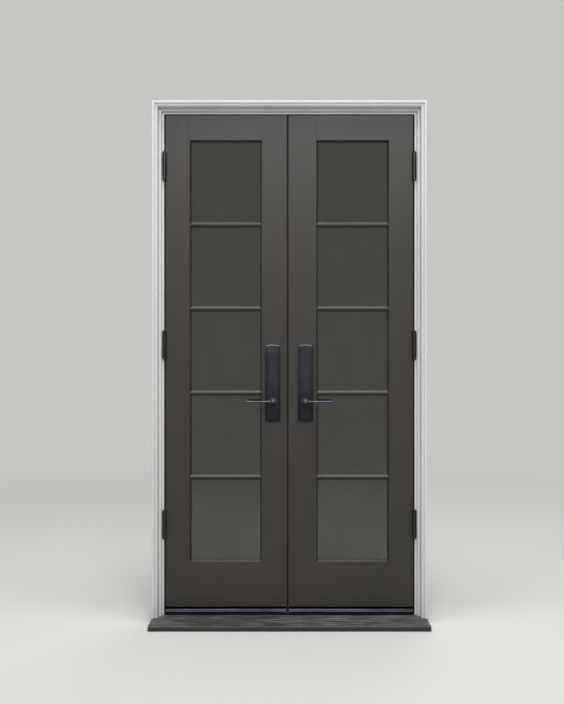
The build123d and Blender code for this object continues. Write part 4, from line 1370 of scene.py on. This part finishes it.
@dataclass
class Studio:
    """Pale floor and background, soft light and the camera at the photograph's place."""

    lamps: tuple[Lamp, ...] = (
        Lamp("key_lamp", (0.3, -6.4, 4.8), target=(0.0, 0.0, 0.9), size=(5.0, 1.4), power=280.0),
        Lamp("overhead_lamp", (0.0, -1.0, 5.2), target=(0.0, -0.1, 0.0), size=(3.2, 1.6), power=150.0),
        Lamp("back_lamp", (1.5, 4.6, 4.4), target=(0.0, 0.0, 1.0), size=(3.0, 1.6), power=70.0),
    )
    background: str = "C6C5C2"
    ambient: float = 0.34
    floor_colour: str = "D2D1CE"
    floor_roughness: float = 0.85
    floor_reach: float = 40.0
    floor_drop: float = 0.5 * MILLIMETRE
    floor_sides: int = 64
    blend_from: float = 1.4
    blend_to: float = 5.0
    camera_place: Point = (-0.020, -3.600, 1.103)
    focal_pixels: float = 870.0
    image_width: int = 564
    image_height: int = 704
    centre_column: float = 284.5
    centre_row: float = 353.0
    sensor: float = 36.0

    def build(self) -> None:
        """Sets up everything round the object."""
        bpy.context.scene.view_settings.view_transform = "Standard"
        self._world()
        self._floor()
        for lamp in self.lamps:
            lamp.hang()
        self._camera()

    def _shown(self, tree: bpy.types.NodeTree) -> Socket:
        """Marks the rays by which the background is seen.

        Args:
            tree: the tree that the nodes join.

        Returns:
            One for camera, glossy and transmission rays, and nought for the rest.
        """
        path = add_node(tree, "ShaderNodeLightPath").outputs
        total = path["Is Camera Ray"]
        for name in ("Is Glossy Ray", "Is Transmission Ray"):
            total = add_node(tree, MATH, [total, path[name]], operation="MAXIMUM").outputs[0]
        return total

    def _world(self) -> None:
        """Makes a pale background, and a softer white light."""
        world = bpy.data.worlds.new("studio")
        world.use_nodes = True
        tree = world.node_tree
        tree.nodes.clear()
        seen = add_node(tree, "ShaderNodeBackground", [linear(self.background), 1.0])
        light = add_node(tree, "ShaderNodeBackground", [linear("FFFFFF"), self.ambient])
        shares = [self._shown(tree), light.outputs[0], seen.outputs[0]]
        mixed = add_node(tree, "ShaderNodeMixShader", shares)
        add_node(tree, "ShaderNodeOutputWorld", {"Surface": mixed.outputs[0]})
        bpy.context.scene.world = world

    def _floor(self) -> None:
        """Makes a floor that fades into the background well away from the object."""
        shape = bmesh.new()
        bmesh.ops.create_circle(
            shape, cap_ends=True, segments=self.floor_sides, radius=self.floor_reach
        )
        floor = linked(shape, "studio_floor")
        floor.location.z = -self.floor_drop
        surface = Surface.named("studio_floor")
        surface.set({
            "Base Color": linear(self.floor_colour), "Roughness": self.floor_roughness
        })
        distance = surface.add(
            "ShaderNodeVectorMath", [surface.place], "Value", operation="LENGTH"
        )
        far = surface.add(RANGE, [distance, self.blend_from, self.blend_to])
        share = surface.all_of(far, self._shown(surface.tree))
        glow = surface.add("ShaderNodeEmission", [linear(self.background), 1.0])
        mixed = surface.add("ShaderNodeMixShader", [share, surface.shader.outputs["BSDF"], glow])
        output = next(n for n in surface.tree.nodes if n.type == "OUTPUT_MATERIAL")
        surface.tree.links.new(mixed, output.inputs["Surface"])
        floor.data.materials.append(surface.material)

    def _camera(self) -> None:
        """Sets the camera level and square to the doors, framed as the photograph is."""
        data = bpy.data.cameras.new("camera")
        data.sensor_width = self.sensor
        data.lens = self.focal_pixels / self.image_height * self.sensor
        data.shift_x = (self.image_width / 2 - self.centre_column) / self.image_height
        data.shift_y = (self.centre_row - self.image_height / 2) / self.image_height
        camera = bpy.data.objects.new("camera", data)
        camera.location = self.camera_place
        camera.rotation_euler = (math.pi / 2, 0.0, 0.0)
        bpy.context.scene.collection.objects.link(camera)
        bpy.context.scene.camera = camera


def main() -> None:
    """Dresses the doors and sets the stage."""
    logging.basicConfig(level=logging.INFO, format="%(message)s")
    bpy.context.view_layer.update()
    finishes = Finishes()
    Carcass().dress(finishes)
    heads = {outline: ScrewHead(outline).build() for outline in Outline}
    fittings = FittingScrews()
    rows = [
        *HingeScrews().hinges(),
        fittings.threshold(),
        *fittings.edge_plates(),
        *fittings.inner_plates(),
        fittings.keepers(),
    ]
    screws = ScrewTree()
    for row in rows:
        row.build(screws, heads, finishes.of(row.slot))
    seals = MeetingSeals()
    for side in SIDES:
        seals.pad(side, finishes.of("seal"))
    seals.lip(finishes.of("seal"))
    seals.pile(PileTree(), finishes.of("seal"))
    Studio().build()


if __name__ == "__main__":
    main()
